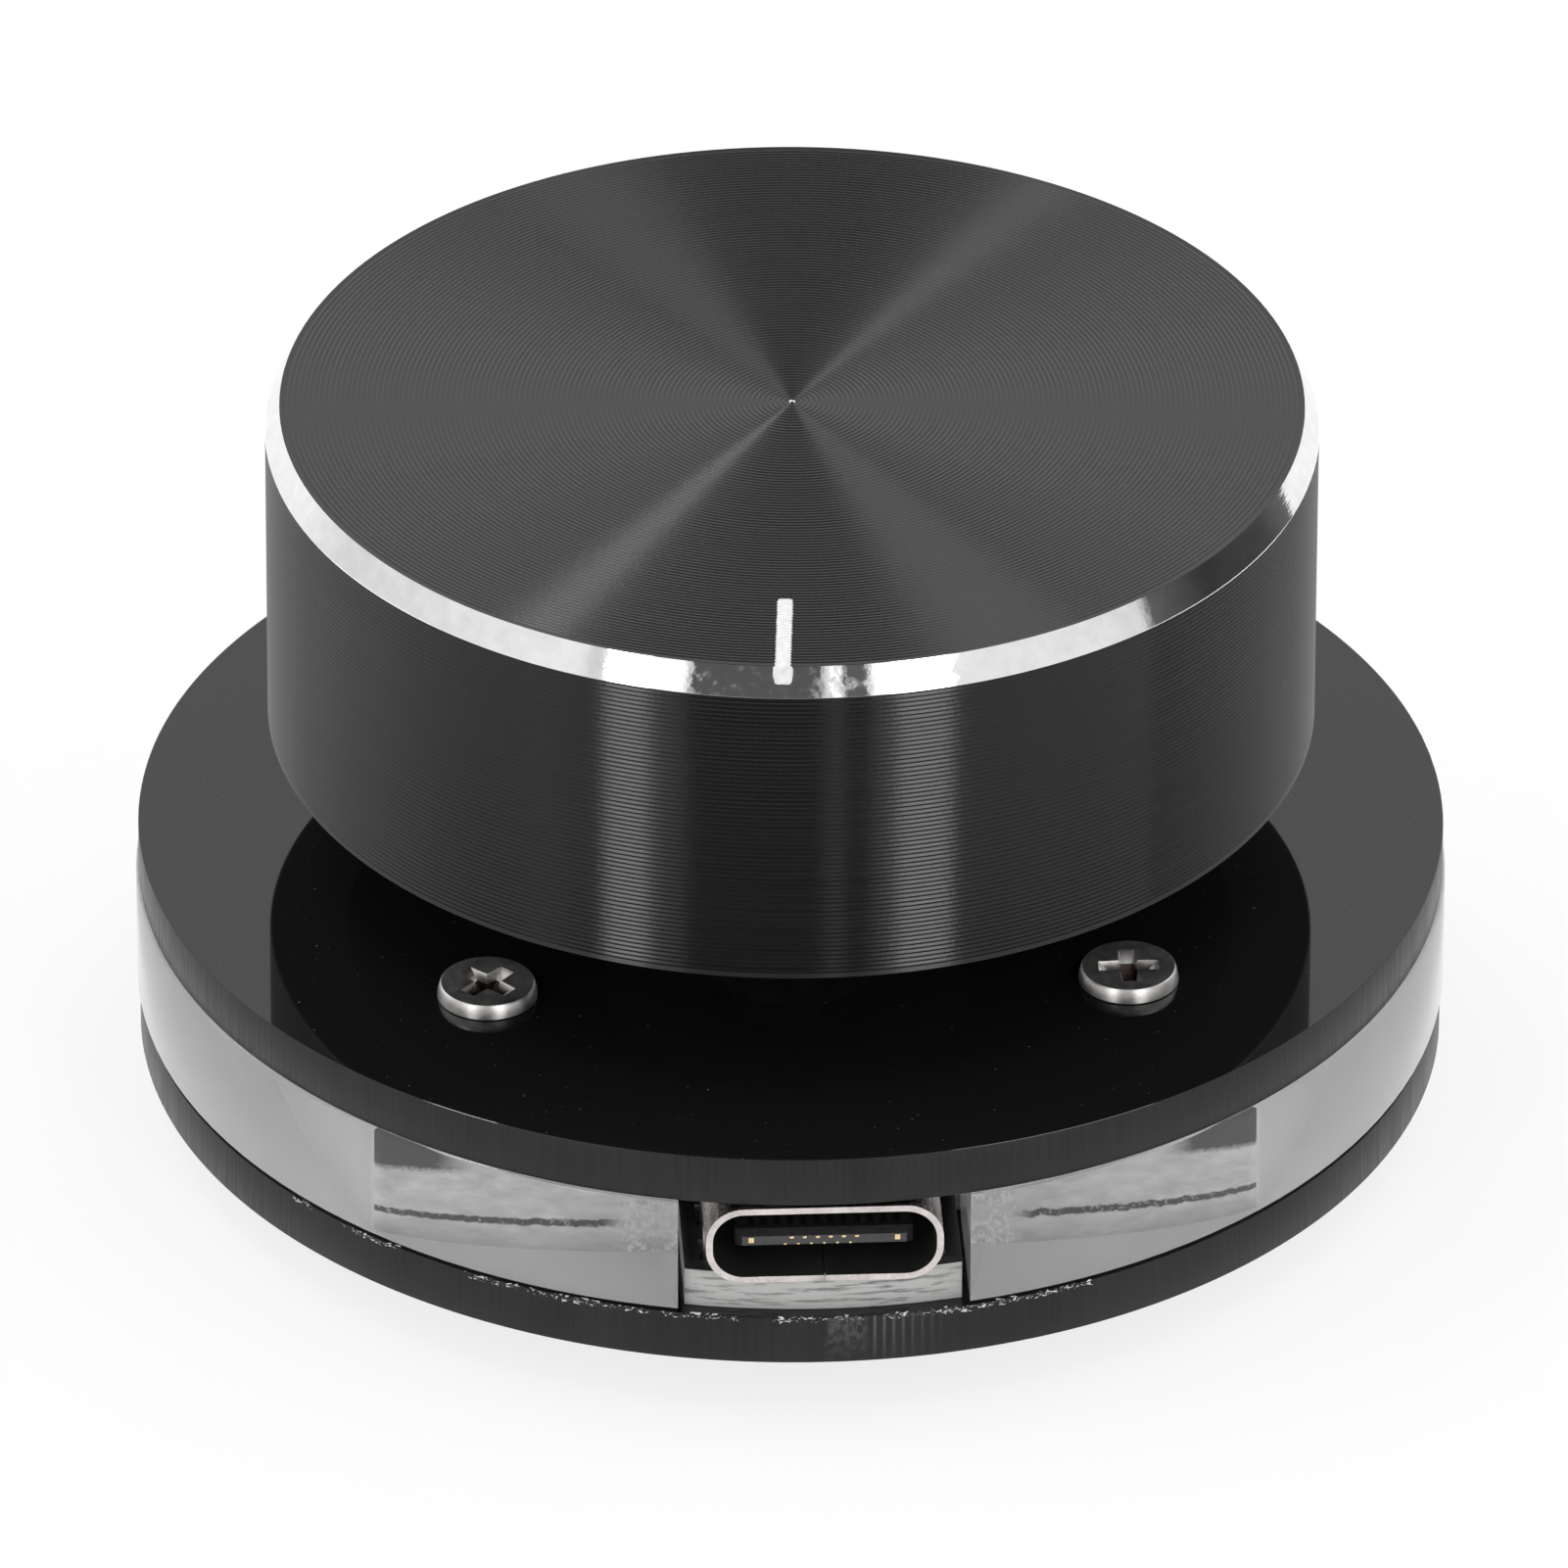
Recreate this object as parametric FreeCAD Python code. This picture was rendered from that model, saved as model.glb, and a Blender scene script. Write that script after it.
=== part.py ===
import FreeCAD, Part
import math
import os

# Desk volume knob: a spun aluminium knob on a push encoder, over a round base of two glossy
# black plates with a clear ring between them. Lengths are in millimetres. The knob turns about
# the Z axis, the cable socket faces -Y, and the rubber feet stand on z = 0.

# Round base plates
plate_radius = 25.0
bottom_plate_thickness = 2.0
top_plate_thickness = 2.0

# Rubber feet
foot_height = 2.0
foot_radius = 4.0
foot_inset = 4.0
foot_edge_round = 0.4
foot_count = 4

# Cable socket
socket_width = 8.94
socket_height = 3.26
socket_length = 7.35
socket_wall = 0.26
socket_corner_radius = 1.45
socket_setback = 0.05
socket_headroom = 0.14
socket_leg_width = 1.1
socket_leg_ahead = 1.9
socket_insert_clearance = 0.03
tongue_width = 6.69
tongue_thickness = 0.7
tongue_length = 4.45
tongue_setback = 0.45
contact_pitch = 0.5
contact_width = 0.25
contact_depth = 0.12
contact_count = 12

# Circuit board
board_thickness = 1.6
board_clearance = 0.3
board_setback = 0.6
board_tab_clearance = 0.27
board_corner_radius = 1.0
board_hole_clearance = 0.15
pin_end_gap = 0.1

# Clear ring
ring_proud = 0.1
pocket_corner_wall = 0.68
pocket_corner_angle = 42.5
pocket_corner_radius = 0.5
slot_side_gap = 1.03

# Screws and standoffs
screw_side_inset = 4.05
screw_end_inset = 5.0
screw_radius = 1.0
screw_hole_clearance = 0.1
screw_head_radius = 1.9
screw_head_height = 0.6
screw_head_round = 0.25
screw_thread_clearance = 0.05
screw_tip_gap = 0.2
recess_length = 1.9
recess_width = 0.5
recess_depth = 0.45
recess_angles = (45.0, 0.0, 70.0, 20.0)
standoff_across_flats = 3.5

# Parts on the board
chip_length = 9.9
chip_width = 3.9
chip_height = 1.45
chip_board_gap = 0.1
lead_pitch = 1.27
lead_width = 0.4
lead_thickness = 0.2
lead_reach = 0.35
lead_foot = 0.6
leads_per_side = 8
capacitor_length = 1.6
capacitor_width = 0.8
capacitor_height = 0.8
capacitor_gap = 1.2
resistor_length = 1.6
resistor_width = 0.8
resistor_height = 0.45
resistor_spacing = 3.0
resistor_gap = 1.2
light_length = 3.5
light_width = 2.8
light_height = 1.9
light_lens_radius = 1.1
light_lens_depth = 0.3
light_edge_gap = 0.5
light_spacing = 10.0

# Encoder body
encoder_size = 12.0
encoder_base_height = 1.8
encoder_housing_height = 3.6
encoder_flange_thickness = 1.2
encoder_cavity_wall = 0.8
encoder_opening_gap = 0.4
encoder_opening_radius = 0.5
bracket_thickness = 0.4
bracket_side_width = 6.0
bracket_lug_width = 1.8
bracket_hole_clearance = 0.1
terminal_width = 0.8
terminal_thickness = 0.3
terminal_pitch = 2.5
terminal_reach = 1.2
terminal_height = 0.8
bushing_radius = 3.5
bushing_length = 5.0

# Encoder switch and rotor
press_travel = 0.5
dome_radius = 2.3
dome_height = 0.75
dome_thickness = 0.1
dome_floor = 0.4
dome_pocket_clearance = 0.3
tip_radius = 1.0
tip_gap = 0.02
rotor_clearance = 0.3
rotor_thickness = 1.6
rotor_gap = 0.5
rotor_boss_radius = 3.2
rotor_boss_gap = 0.05
detent_count = 20
detent_depth = 0.25
detent_land = 0.9
detent_width_share = 0.5
wiper_count = 3
wiper_width = 0.6
wiper_thickness = 0.15
wiper_length = 2.2
wiper_gap = 0.05
wiper_wall_gap = 0.8
spring_thickness = 0.2
spring_width = 0.8
spring_wall_gap = 0.1
spring_bump_length = 1.6
spring_gap = 0.05

# Encoder shaft
shaft_radius = 3.0
shaft_clearance = 0.04
shaft_flat_depth = 1.5
shaft_end_chamfer = 0.3
drive_radius = 2.2
drive_across_flats = 3.2
drive_clearance = 0.06
clip_thickness = 0.4
clip_radius = 3.9
clip_groove_depth = 0.6
clip_gap = 0.05
clip_groove_clearance = 0.03
clip_opening = 3.4

# Knob
knob_radius = 20.0
knob_height = 13.4
knob_gap = 4.85
knob_chamfer_width = 0.55
knob_chamfer_height = 1.1
knob_wall = 3.0
knob_top_thickness = 2.0
knob_skin_over_bore = 1.45
knob_hub_radius = 7.0
knob_hub_clearance = 0.8
knob_bore_clearance = 0.04
knob_bore_end_gap = 0.2
knob_rest_angle = -4.0

# Pointer mark
pointer_width = 0.62
pointer_length = 4.9
pointer_depth = 0.3
pointer_rim_share = 0.55

# Knob set screw
set_screw_radius = 1.5
set_screw_clearance = 0.05
set_screw_flat_gap = 0.02
set_screw_inset = 0.3
set_screw_hex = 1.5
set_screw_hex_depth = 1.5
set_screw_access_gap = 0.2
set_screw_height_share = 0.5

# Length by which a cutting shape runs past the face it cuts
overrun = 1.0
# Differences smaller than this count as none
negligible = 1e-6

# Levels of the base, from the feet up
plate_low_z = foot_height
board_low_z = plate_low_z + bottom_plate_thickness
board_top_z = board_low_z + board_thickness
ring_top_z = board_top_z + socket_height + socket_headroom
deck_z = ring_top_z + top_plate_thickness

# Levels of the encoder
encoder_housing_z = board_top_z + encoder_base_height
encoder_flange_z = encoder_housing_z + encoder_housing_height
encoder_bracket_z = encoder_flange_z + encoder_flange_thickness
encoder_top_z = encoder_bracket_z + bracket_thickness
bushing_top_z = encoder_top_z + bushing_length
rotor_low_z = encoder_housing_z + rotor_gap
rotor_top_z = rotor_low_z + rotor_thickness
dome_low_z = board_top_z + dome_floor
tip_low_z = dome_low_z + dome_height + tip_gap
clip_top_z = encoder_flange_z - clip_gap
clip_low_z = clip_top_z - clip_thickness

# Levels of the knob
knob_low_z = deck_z + knob_gap
knob_top_z = knob_low_z + knob_height
bore_top_z = knob_top_z - knob_skin_over_bore
shaft_top_z = bore_top_z - knob_bore_end_gap
hub_low_z = bushing_top_z + press_travel + knob_hub_clearance
set_screw_z = hub_low_z + (bore_top_z - hub_low_z) * set_screw_height_share

# Plan sizes of the ring, its pocket and the board in it
ring_radius = plate_radius + ring_proud
pocket_corner_distance = ring_radius - pocket_corner_wall
pocket_half_width = pocket_corner_distance * math.sin(math.radians(pocket_corner_angle))
pocket_half_depth = pocket_corner_distance * math.cos(math.radians(pocket_corner_angle))
slot_half_width = socket_width / 2 + slot_side_gap
board_half_width = pocket_half_width - board_clearance
board_half_depth = pocket_half_depth - board_clearance
board_tab_half_width = slot_half_width - board_tab_clearance
board_front_radius = plate_radius - board_setback
socket_front_y = socket_setback - plate_radius
socket_back_y = socket_front_y + socket_length
screw_x = board_half_width - screw_side_inset
screw_y = board_half_depth - screw_end_inset
screw_hole_radius = screw_radius + screw_hole_clearance
standoff_bore_radius = screw_radius + screw_thread_clearance

# Plan sizes of the encoder
encoder_half = encoder_size / 2
encoder_cavity_radius = encoder_half - encoder_cavity_wall
terminal_far_y = encoder_half + terminal_reach
chip_middle_y = (terminal_far_y + board_half_depth) / 2

# Directions
along_x = FreeCAD.Vector(1, 0, 0)
along_y = FreeCAD.Vector(0, 1, 0)
along_z = FreeCAD.Vector(0, 0, 1)
centre = FreeCAD.Vector(0, 0, 0)


def cylinder(radius, low_z, high_z, x=0, y=0):
    return Part.makeCylinder(radius, high_z - low_z, FreeCAD.Vector(x, y, low_z))


def tube(outer_radius, inner_radius, low_z, high_z):
    bore = cylinder(inner_radius, low_z - overrun, high_z + overrun)
    return cylinder(outer_radius, low_z, high_z).cut(bore)


def block(x_span, y_span, z_span):
    size = [high - low for low, high in (x_span, y_span, z_span)]
    corner = FreeCAD.Vector(x_span[0], y_span[0], z_span[0])
    return Part.makeBox(size[0], size[1], size[2], corner)


def both_ways(half):
    return (-half, half)


def about(middle, width):
    return (middle - width / 2, middle + width / 2)


def edges_along(shape, direction):
    found = []
    for edge in shape.Edges:
        span = edge.Vertexes[-1].Point - edge.Vertexes[0].Point
        if span.Length < negligible:
            continue
        if abs(abs(span.normalize().dot(direction)) - 1) < negligible:
            found.append(edge)
    return found


def rounded_block(x_span, y_span, z_span, radius, direction):
    plain = block(x_span, y_span, z_span)
    return plain.makeFillet(radius, edges_along(plain, direction))


def flat_face(points):
    return Part.Face(Part.makePolygon(points + [points[0]]))


def spin(profile):
    """A solid turned about the Z axis from (radius, height) points."""
    points = [FreeCAD.Vector(radius, 0, height) for radius, height in profile]
    return flat_face(points).revolve(centre, along_z, 360)


def strip_along_x(profile, x_span):
    """A bar whose section is given by (y, z) points."""
    points = [FreeCAD.Vector(x_span[0], y, z) for y, z in profile]
    return flat_face(points).extrude(along_x * (x_span[1] - x_span[0]))


def hexagon(across_flats, low_z, high_z):
    sides = 6
    corner_radius = across_flats / 2 / math.cos(math.pi / sides)
    turns = [2 * math.pi * step / sides for step in range(sides)]
    points = [FreeCAD.Vector(math.cos(turn), math.sin(turn), 0) * corner_radius for turn in turns]
    prism = flat_face(points).extrude(along_z * (high_z - low_z))
    return moved(prism, 0, 0, low_z)


def moved(shape, x, y, z=0):
    placed = shape.copy()
    placed.translate(FreeCAD.Vector(x, y, z))
    return placed


def turned(shape, angle):
    placed = shape.copy()
    placed.rotate(centre, along_z, angle)
    return placed


def ring_of(shape, count):
    return [turned(shape, 360 / count * step) for step in range(count)]


def cut_all(shape, tools):
    for tool in tools:
        shape = shape.cut(tool)
    return shape


def fuse_all(shapes):
    joined = shapes[0]
    for shape in shapes[1:]:
        joined = joined.fuse(shape)
    return joined.removeSplitter()


def screw_places():
    return [(-screw_x, -screw_y), (screw_x, -screw_y), (screw_x, screw_y), (-screw_x, screw_y)]


def screw_holes(low_z, high_z):
    return [cylinder(screw_hole_radius, low_z - overrun, high_z + overrun, x, y) for x, y in screw_places()]


# Rubber feet
def make_feet():
    foot = cylinder(foot_radius, 0, foot_height)
    rim = [edge for edge in foot.Edges if edge.Closed and edge.CenterOfMass.z < foot_height / 2]
    foot = foot.makeFillet(foot_edge_round, rim)
    foot = moved(foot, 0, foot_inset + foot_radius - plate_radius)
    return Part.makeCompound(ring_of(foot, foot_count))


# Plates and clear ring
def make_bottom_plate():
    plate = cylinder(plate_radius, plate_low_z, board_low_z)
    return cut_all(plate, screw_holes(plate_low_z, board_low_z))


def make_top_plate():
    plate = cylinder(plate_radius, ring_top_z, deck_z)
    half_width = encoder_half + bracket_thickness + encoder_opening_gap
    half_depth = encoder_half + encoder_opening_gap
    cut_span = (ring_top_z - overrun, deck_z + overrun)
    opening = rounded_block(
        both_ways(half_width), both_ways(half_depth), cut_span, encoder_opening_radius, along_z)
    return cut_all(plate, screw_holes(ring_top_z, deck_z) + [opening])


def make_ring():
    ring = cylinder(ring_radius, board_low_z, ring_top_z)
    cut_span = (board_low_z - overrun, ring_top_z + overrun)
    pocket = rounded_block(
        both_ways(pocket_half_width), both_ways(pocket_half_depth), cut_span, pocket_corner_radius, along_z)
    slot = block(both_ways(slot_half_width), (-ring_radius - overrun, 0), cut_span)
    return ring.cut(pocket).cut(slot)


# Screws and standoffs
def pan_screw(shank_length, recess_angle):
    """A screw with its head above z = 0 and its shank below."""
    head = cylinder(screw_head_radius, 0, screw_head_height)
    rim = [edge for edge in head.Edges if edge.Closed and edge.CenterOfMass.z > screw_head_height / 2]
    head = head.makeFillet(screw_head_round, rim)
    shank = cylinder(screw_radius, -shank_length, 0)
    depth_span = (screw_head_height - recess_depth, screw_head_height + overrun)
    arm = block(both_ways(recess_length / 2), both_ways(recess_width / 2), depth_span)
    cross = turned(arm.fuse(turned(arm, 90)), recess_angle)
    return head.fuse(shank).cut(cross)


def thread_engagement():
    return (ring_top_z - board_top_z - screw_tip_gap) / 2


def make_top_screws():
    length = top_plate_thickness + thread_engagement()
    screws = []
    for (x, y), angle in zip(screw_places(), recess_angles):
        screws.append(moved(pan_screw(length, angle), x, y, deck_z))
    return Part.makeCompound(screws)


def make_bottom_screws():
    length = bottom_plate_thickness + board_thickness + thread_engagement()
    screws = []
    for (x, y), angle in zip(screw_places(), recess_angles):
        screw = pan_screw(length, angle)
        screw.rotate(centre, along_x, 180)
        screws.append(moved(screw, x, y, plate_low_z))
    return Part.makeCompound(screws)


def make_standoffs():
    post = hexagon(standoff_across_flats, board_top_z, ring_top_z)
    post = post.cut(cylinder(standoff_bore_radius, board_top_z - overrun, ring_top_z + overrun))
    return Part.makeCompound([moved(post, x, y) for x, y in screw_places()])


# Circuit board
def socket_leg_spans():
    """Where the four socket legs stand in plan, as (x span, y span) pairs."""
    side = socket_width / 2
    ahead = socket_front_y + socket_leg_ahead
    behind = socket_back_y - socket_leg_ahead
    spans = []
    for x_span in ((-side, socket_wall - side), (side - socket_wall, side)):
        spans.append((x_span, (ahead, ahead + socket_leg_width)))
        spans.append((x_span, (behind - socket_leg_width, behind)))
    return spans


def lug_spans():
    """Where the two bracket lugs stand in plan, as (x span, y span) pairs."""
    outer = encoder_half + bracket_thickness
    y_span = both_ways(bracket_lug_width / 2)
    return [((-outer, -encoder_half), y_span), ((encoder_half, outer), y_span)]


def terminal_places():
    """Middle x of each terminal and the side of the encoder it is on."""
    front = [(terminal_pitch * step, -1) for step in (-1, 0, 1)]
    back = [(terminal_pitch * step, 1) for step in (-1, 1)]
    return front + back


def terminal_y_span(side):
    inner = terminal_far_y - terminal_thickness
    return (min(side * inner, side * terminal_far_y), max(side * inner, side * terminal_far_y))


def grown(span, margin):
    return (span[0] - margin, span[1] + margin)


def make_board():
    z_span = (board_low_z, board_top_z)
    cut_span = grown(z_span, overrun)
    main = rounded_block(
        both_ways(board_half_width), both_ways(board_half_depth), z_span, board_corner_radius, along_z)
    tab = block(both_ways(board_tab_half_width), (-plate_radius, 0), z_span)
    tab = tab.common(cylinder(board_front_radius, board_low_z, board_top_z))
    holes = screw_holes(board_low_z, board_top_z)
    for leg_spans in socket_leg_spans() + lug_spans():
        x_span, y_span = [grown(span, board_hole_clearance) for span in leg_spans]
        holes.append(block(x_span, y_span, cut_span))
    for x, side in terminal_places():
        y_span = terminal_y_span(side)
        middle_y = (y_span[0] + y_span[1]) / 2
        hole_radius = terminal_width / 2 + board_hole_clearance
        holes.append(cylinder(hole_radius, cut_span[0], cut_span[1], x, middle_y))
    return cut_all(fuse_all([main, tab]), holes)


# Cable socket
def make_socket_shell():
    y_span = (socket_front_y, socket_back_y)
    z_span = (board_top_z, board_top_z + socket_height)
    outer = rounded_block(both_ways(socket_width / 2), y_span, z_span, socket_corner_radius, along_y)
    inner = rounded_block(
        both_ways(socket_width / 2 - socket_wall), grown(y_span, overrun), grown(z_span, -socket_wall),
        socket_corner_radius - socket_wall, along_y)
    shell = outer.cut(inner)
    leg_top_z = board_top_z + socket_height / 2
    for x_span, leg_y_span in socket_leg_spans():
        shell = shell.fuse(block(x_span, leg_y_span, (board_low_z + pin_end_gap, leg_top_z)))
    return shell.removeSplitter()


def socket_middle_z():
    return board_top_z + socket_height / 2


def contact_rows():
    """Contact strips in the upper and lower face of the tongue."""
    tongue_front_y = socket_front_y + tongue_setback
    y_span = (tongue_front_y, tongue_front_y + tongue_length)
    upper_z = socket_middle_z() + tongue_thickness / 2
    lower_z = socket_middle_z() - tongue_thickness / 2
    strips = []
    for number in range(contact_count):
        x = (number - (contact_count - 1) / 2) * contact_pitch
        strips.append(block(about(x, contact_width), y_span, (upper_z - contact_depth, upper_z)))
        strips.append(block(about(x, contact_width), y_span, (lower_z, lower_z + contact_depth)))
    return strips


def make_tongue():
    margin = socket_wall + socket_insert_clearance
    tongue_front_y = socket_front_y + tongue_setback
    insert_front_y = tongue_front_y + tongue_length
    insert = rounded_block(
        both_ways(socket_width / 2 - margin), (insert_front_y, socket_back_y),
        (board_top_z + margin, board_top_z + socket_height - margin), socket_corner_radius - margin, along_y)
    tongue = block(
        both_ways(tongue_width / 2), (tongue_front_y, insert_front_y + socket_wall),
        about(socket_middle_z(), tongue_thickness))
    return cut_all(fuse_all([insert, tongue]), contact_rows())


def make_contacts():
    return Part.makeCompound(contact_rows())


# Parts on the board
def make_chip():
    low_z = board_top_z + chip_board_gap
    return block(both_ways(chip_length / 2), about(chip_middle_y, chip_width), (low_z, low_z + chip_height))


def make_chip_leads():
    root_y = chip_width / 2
    knee_y = root_y + lead_reach
    toe_y = knee_y + lead_foot
    shoulder_z = board_top_z + chip_board_gap + (chip_height + lead_thickness) / 2
    sole_z = board_top_z + lead_thickness
    profile = [
        (root_y, shoulder_z), (knee_y, shoulder_z), (knee_y, sole_z), (toe_y, sole_z), (toe_y, board_top_z),
        (knee_y - lead_thickness, board_top_z), (knee_y - lead_thickness, shoulder_z - lead_thickness),
        (root_y, shoulder_z - lead_thickness)]
    leads = []
    for number in range(leads_per_side):
        x = (number - (leads_per_side - 1) / 2) * lead_pitch
        lead = strip_along_x(profile, about(x, lead_width))
        leads.append(moved(lead, 0, chip_middle_y))
        leads.append(moved(turned(lead, 180), 0, chip_middle_y))
    return Part.makeCompound(leads)


def make_capacitors():
    z_span = (board_top_z, board_top_z + capacitor_height)
    x = chip_length / 2 + capacitor_gap + capacitor_width / 2
    y_span = about(chip_middle_y, capacitor_length)
    return Part.makeCompound([block(about(side * x, capacitor_width), y_span, z_span) for side in (-1, 1)])


def make_resistors():
    z_span = (board_top_z, board_top_z + resistor_height)
    y_span = (socket_back_y + resistor_gap, socket_back_y + resistor_gap + resistor_width)
    half = resistor_spacing / 2
    return Part.makeCompound([block(about(x, resistor_length), y_span, z_span) for x in (-half, half)])


def ring_light():
    """A light with a round window in its top, standing on the board at the knob's axis."""
    top_z = board_top_z + light_height
    case = block(both_ways(light_width / 2), both_ways(light_length / 2), (board_top_z, top_z))
    return case.cut(cylinder(light_lens_radius, top_z - light_lens_depth, top_z + overrun))


def make_lights():
    side_x = board_half_width - light_edge_gap - light_width / 2
    side_y = light_spacing / 2
    places = [(-side_x, -side_y), (side_x, -side_y), (side_x, side_y), (-side_x, side_y)]
    return Part.makeCompound([moved(ring_light(), x, y) for x, y in places])


# Encoder body
def encoder_block(low_z, high_z):
    return block(both_ways(encoder_half), both_ways(encoder_half), (low_z, high_z))


def make_encoder_base():
    base = encoder_block(board_top_z, encoder_housing_z)
    pocket_radius = dome_radius + dome_pocket_clearance
    return base.cut(cylinder(pocket_radius, dome_low_z, encoder_housing_z + overrun))


def make_encoder_housing():
    housing = encoder_block(encoder_housing_z, encoder_flange_z)
    low_z, high_z = grown((encoder_housing_z, encoder_flange_z), overrun)
    return housing.cut(cylinder(encoder_cavity_radius, low_z, high_z))


def make_bushing():
    flange = encoder_block(encoder_flange_z, encoder_bracket_z)
    neck = cylinder(bushing_radius, encoder_flange_z, bushing_top_z)
    bore = cylinder(shaft_radius + shaft_clearance, encoder_flange_z - overrun, bushing_top_z + overrun)
    return fuse_all([flange, neck]).cut(bore)


def make_bracket():
    roof_z_span = (encoder_bracket_z, encoder_top_z)
    sheets = [block(both_ways(encoder_half + bracket_thickness), both_ways(encoder_half), roof_z_span)]
    for x_span, y_span in lug_spans():
        sheets.append(block(x_span, both_ways(bracket_side_width / 2), (board_top_z, encoder_bracket_z)))
        sheets.append(block(x_span, y_span, (board_low_z + pin_end_gap, board_top_z)))
    hole_radius = bushing_radius + bracket_hole_clearance
    return fuse_all(sheets).cut(cylinder(hole_radius, encoder_bracket_z - overrun, encoder_top_z + overrun))


def make_terminals():
    low_z = board_low_z + pin_end_gap
    shelf_z = board_top_z + terminal_height
    pins = []
    for x, side in terminal_places():
        x_span = about(x, terminal_width)
        near = side * encoder_half
        far = side * terminal_far_y
        shelf = block(x_span, (min(near, far), max(near, far)), (shelf_z - terminal_thickness, shelf_z))
        leg = block(x_span, terminal_y_span(side), (low_z, shelf_z))
        pins.append(fuse_all([shelf, leg]))
    return Part.makeCompound(pins)


# Detent spring, contact wipers and switch dome
def make_detent_spring():
    outer_radius = encoder_cavity_radius - spring_wall_gap
    low_z = encoder_flange_z - spring_thickness
    spring = tube(outer_radius, outer_radius - spring_width, low_z, encoder_flange_z)
    bump_low_z = rotor_top_z + spring_gap
    half = spring_bump_length / 2
    profile = [(-half, low_z), (half, low_z), (0, bump_low_z)]
    bump = strip_along_x(profile, (outer_radius - spring_width, outer_radius))
    bump = bump.common(cylinder(outer_radius, bump_low_z, low_z))
    return fuse_all([spring, bump, turned(bump, 180)])


def make_wipers():
    top_z = rotor_low_z - wiper_gap
    rise_z = encoder_housing_z + wiper_thickness
    half = wiper_length / 2
    profile = [
        (-half, encoder_housing_z), (0, encoder_housing_z), (half, top_z - wiper_thickness),
        (half, top_z), (0, rise_z), (-half, rise_z)]
    far_x = encoder_cavity_radius - wiper_wall_gap
    wiper = strip_along_x(profile, (far_x - wiper_width, far_x))
    return Part.makeCompound(ring_of(wiper, wiper_count))


def dome_cap(radius, height):
    """A spherical cap standing on z = 0."""
    ball_radius = (radius ** 2 + height ** 2) / (2 * height)
    ball = Part.makeSphere(ball_radius, FreeCAD.Vector(0, 0, height - ball_radius))
    return ball.common(cylinder(radius + overrun, 0, height + overrun))


def make_dome():
    inner = dome_cap(dome_radius - dome_thickness, dome_height - dome_thickness)
    return moved(dome_cap(dome_radius, dome_height).cut(inner), 0, 0, dome_low_z)


# Rotor, shaft and clip
def drive_bar(radius, across_flats, low_z, high_z):
    flats = block(both_ways(radius), both_ways(across_flats / 2), (low_z, high_z))
    return cylinder(radius, low_z, high_z).common(flats)


def make_rotor():
    radius = encoder_cavity_radius - rotor_clearance
    disc = cylinder(radius, rotor_low_z, rotor_top_z)
    boss = cylinder(rotor_boss_radius, encoder_housing_z + rotor_boss_gap, rotor_low_z)
    rotor = fuse_all([disc, boss])
    pitch = 2 * math.pi * radius / detent_count
    notch = block(
        (radius - detent_land, radius + overrun), both_ways(pitch * detent_width_share / 2),
        (rotor_top_z - detent_depth, rotor_top_z + overrun))
    keyway = drive_bar(
        drive_radius + drive_clearance, drive_across_flats + 2 * drive_clearance,
        encoder_housing_z, rotor_top_z + overrun)
    return turned(cut_all(rotor, ring_of(notch, detent_count) + [keyway]), knob_rest_angle)


def make_shaft():
    groove_radius = shaft_radius - clip_groove_depth
    drive_low_z = encoder_housing_z
    drive_high_z = clip_low_z - clip_thickness
    shoulder = shaft_top_z - shaft_end_chamfer
    body = spin([
        (0, drive_high_z), (shaft_radius, drive_high_z), (shaft_radius, clip_low_z),
        (groove_radius, clip_low_z), (groove_radius, clip_top_z), (shaft_radius, clip_top_z),
        (shaft_radius, shoulder), (shaft_radius - shaft_end_chamfer, shaft_top_z), (0, shaft_top_z)])
    tip = cylinder(tip_radius, tip_low_z, drive_low_z)
    drive = drive_bar(drive_radius, drive_across_flats, drive_low_z, drive_high_z)
    flat_low_z = bushing_top_z + press_travel
    flat = block(
        both_ways(shaft_radius + overrun), (shaft_radius - shaft_flat_depth, shaft_radius + overrun),
        (flat_low_z, shaft_top_z + overrun))
    return turned(fuse_all([body, drive, tip]).cut(flat), knob_rest_angle)


def make_clip():
    inner_radius = shaft_radius - clip_groove_depth + clip_groove_clearance
    low_z = clip_low_z + clip_groove_clearance
    high_z = clip_top_z - clip_groove_clearance
    clip = tube(clip_radius, inner_radius, low_z, high_z)
    mouth_y_span = (-clip_radius - overrun, 0)
    mouth = block(both_ways(clip_opening / 2), mouth_y_span, grown((low_z, high_z), overrun))
    return turned(clip.cut(mouth), knob_rest_angle)


# Knob, pointer and set screw
def knob_outline():
    return spin([
        (0, knob_low_z), (knob_radius, knob_low_z), (knob_radius, knob_top_z - knob_chamfer_height),
        (knob_radius - knob_chamfer_width, knob_top_z), (0, knob_top_z)])


def knob_bore():
    radius = shaft_radius + knob_bore_clearance
    bore = cylinder(radius, hub_low_z - overrun, bore_top_z)
    flat_y = shaft_radius - shaft_flat_depth + knob_bore_clearance
    beyond_flat = block(both_ways(radius), (flat_y, radius + overrun), (hub_low_z - overrun, bore_top_z))
    return bore.cut(beyond_flat)


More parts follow.
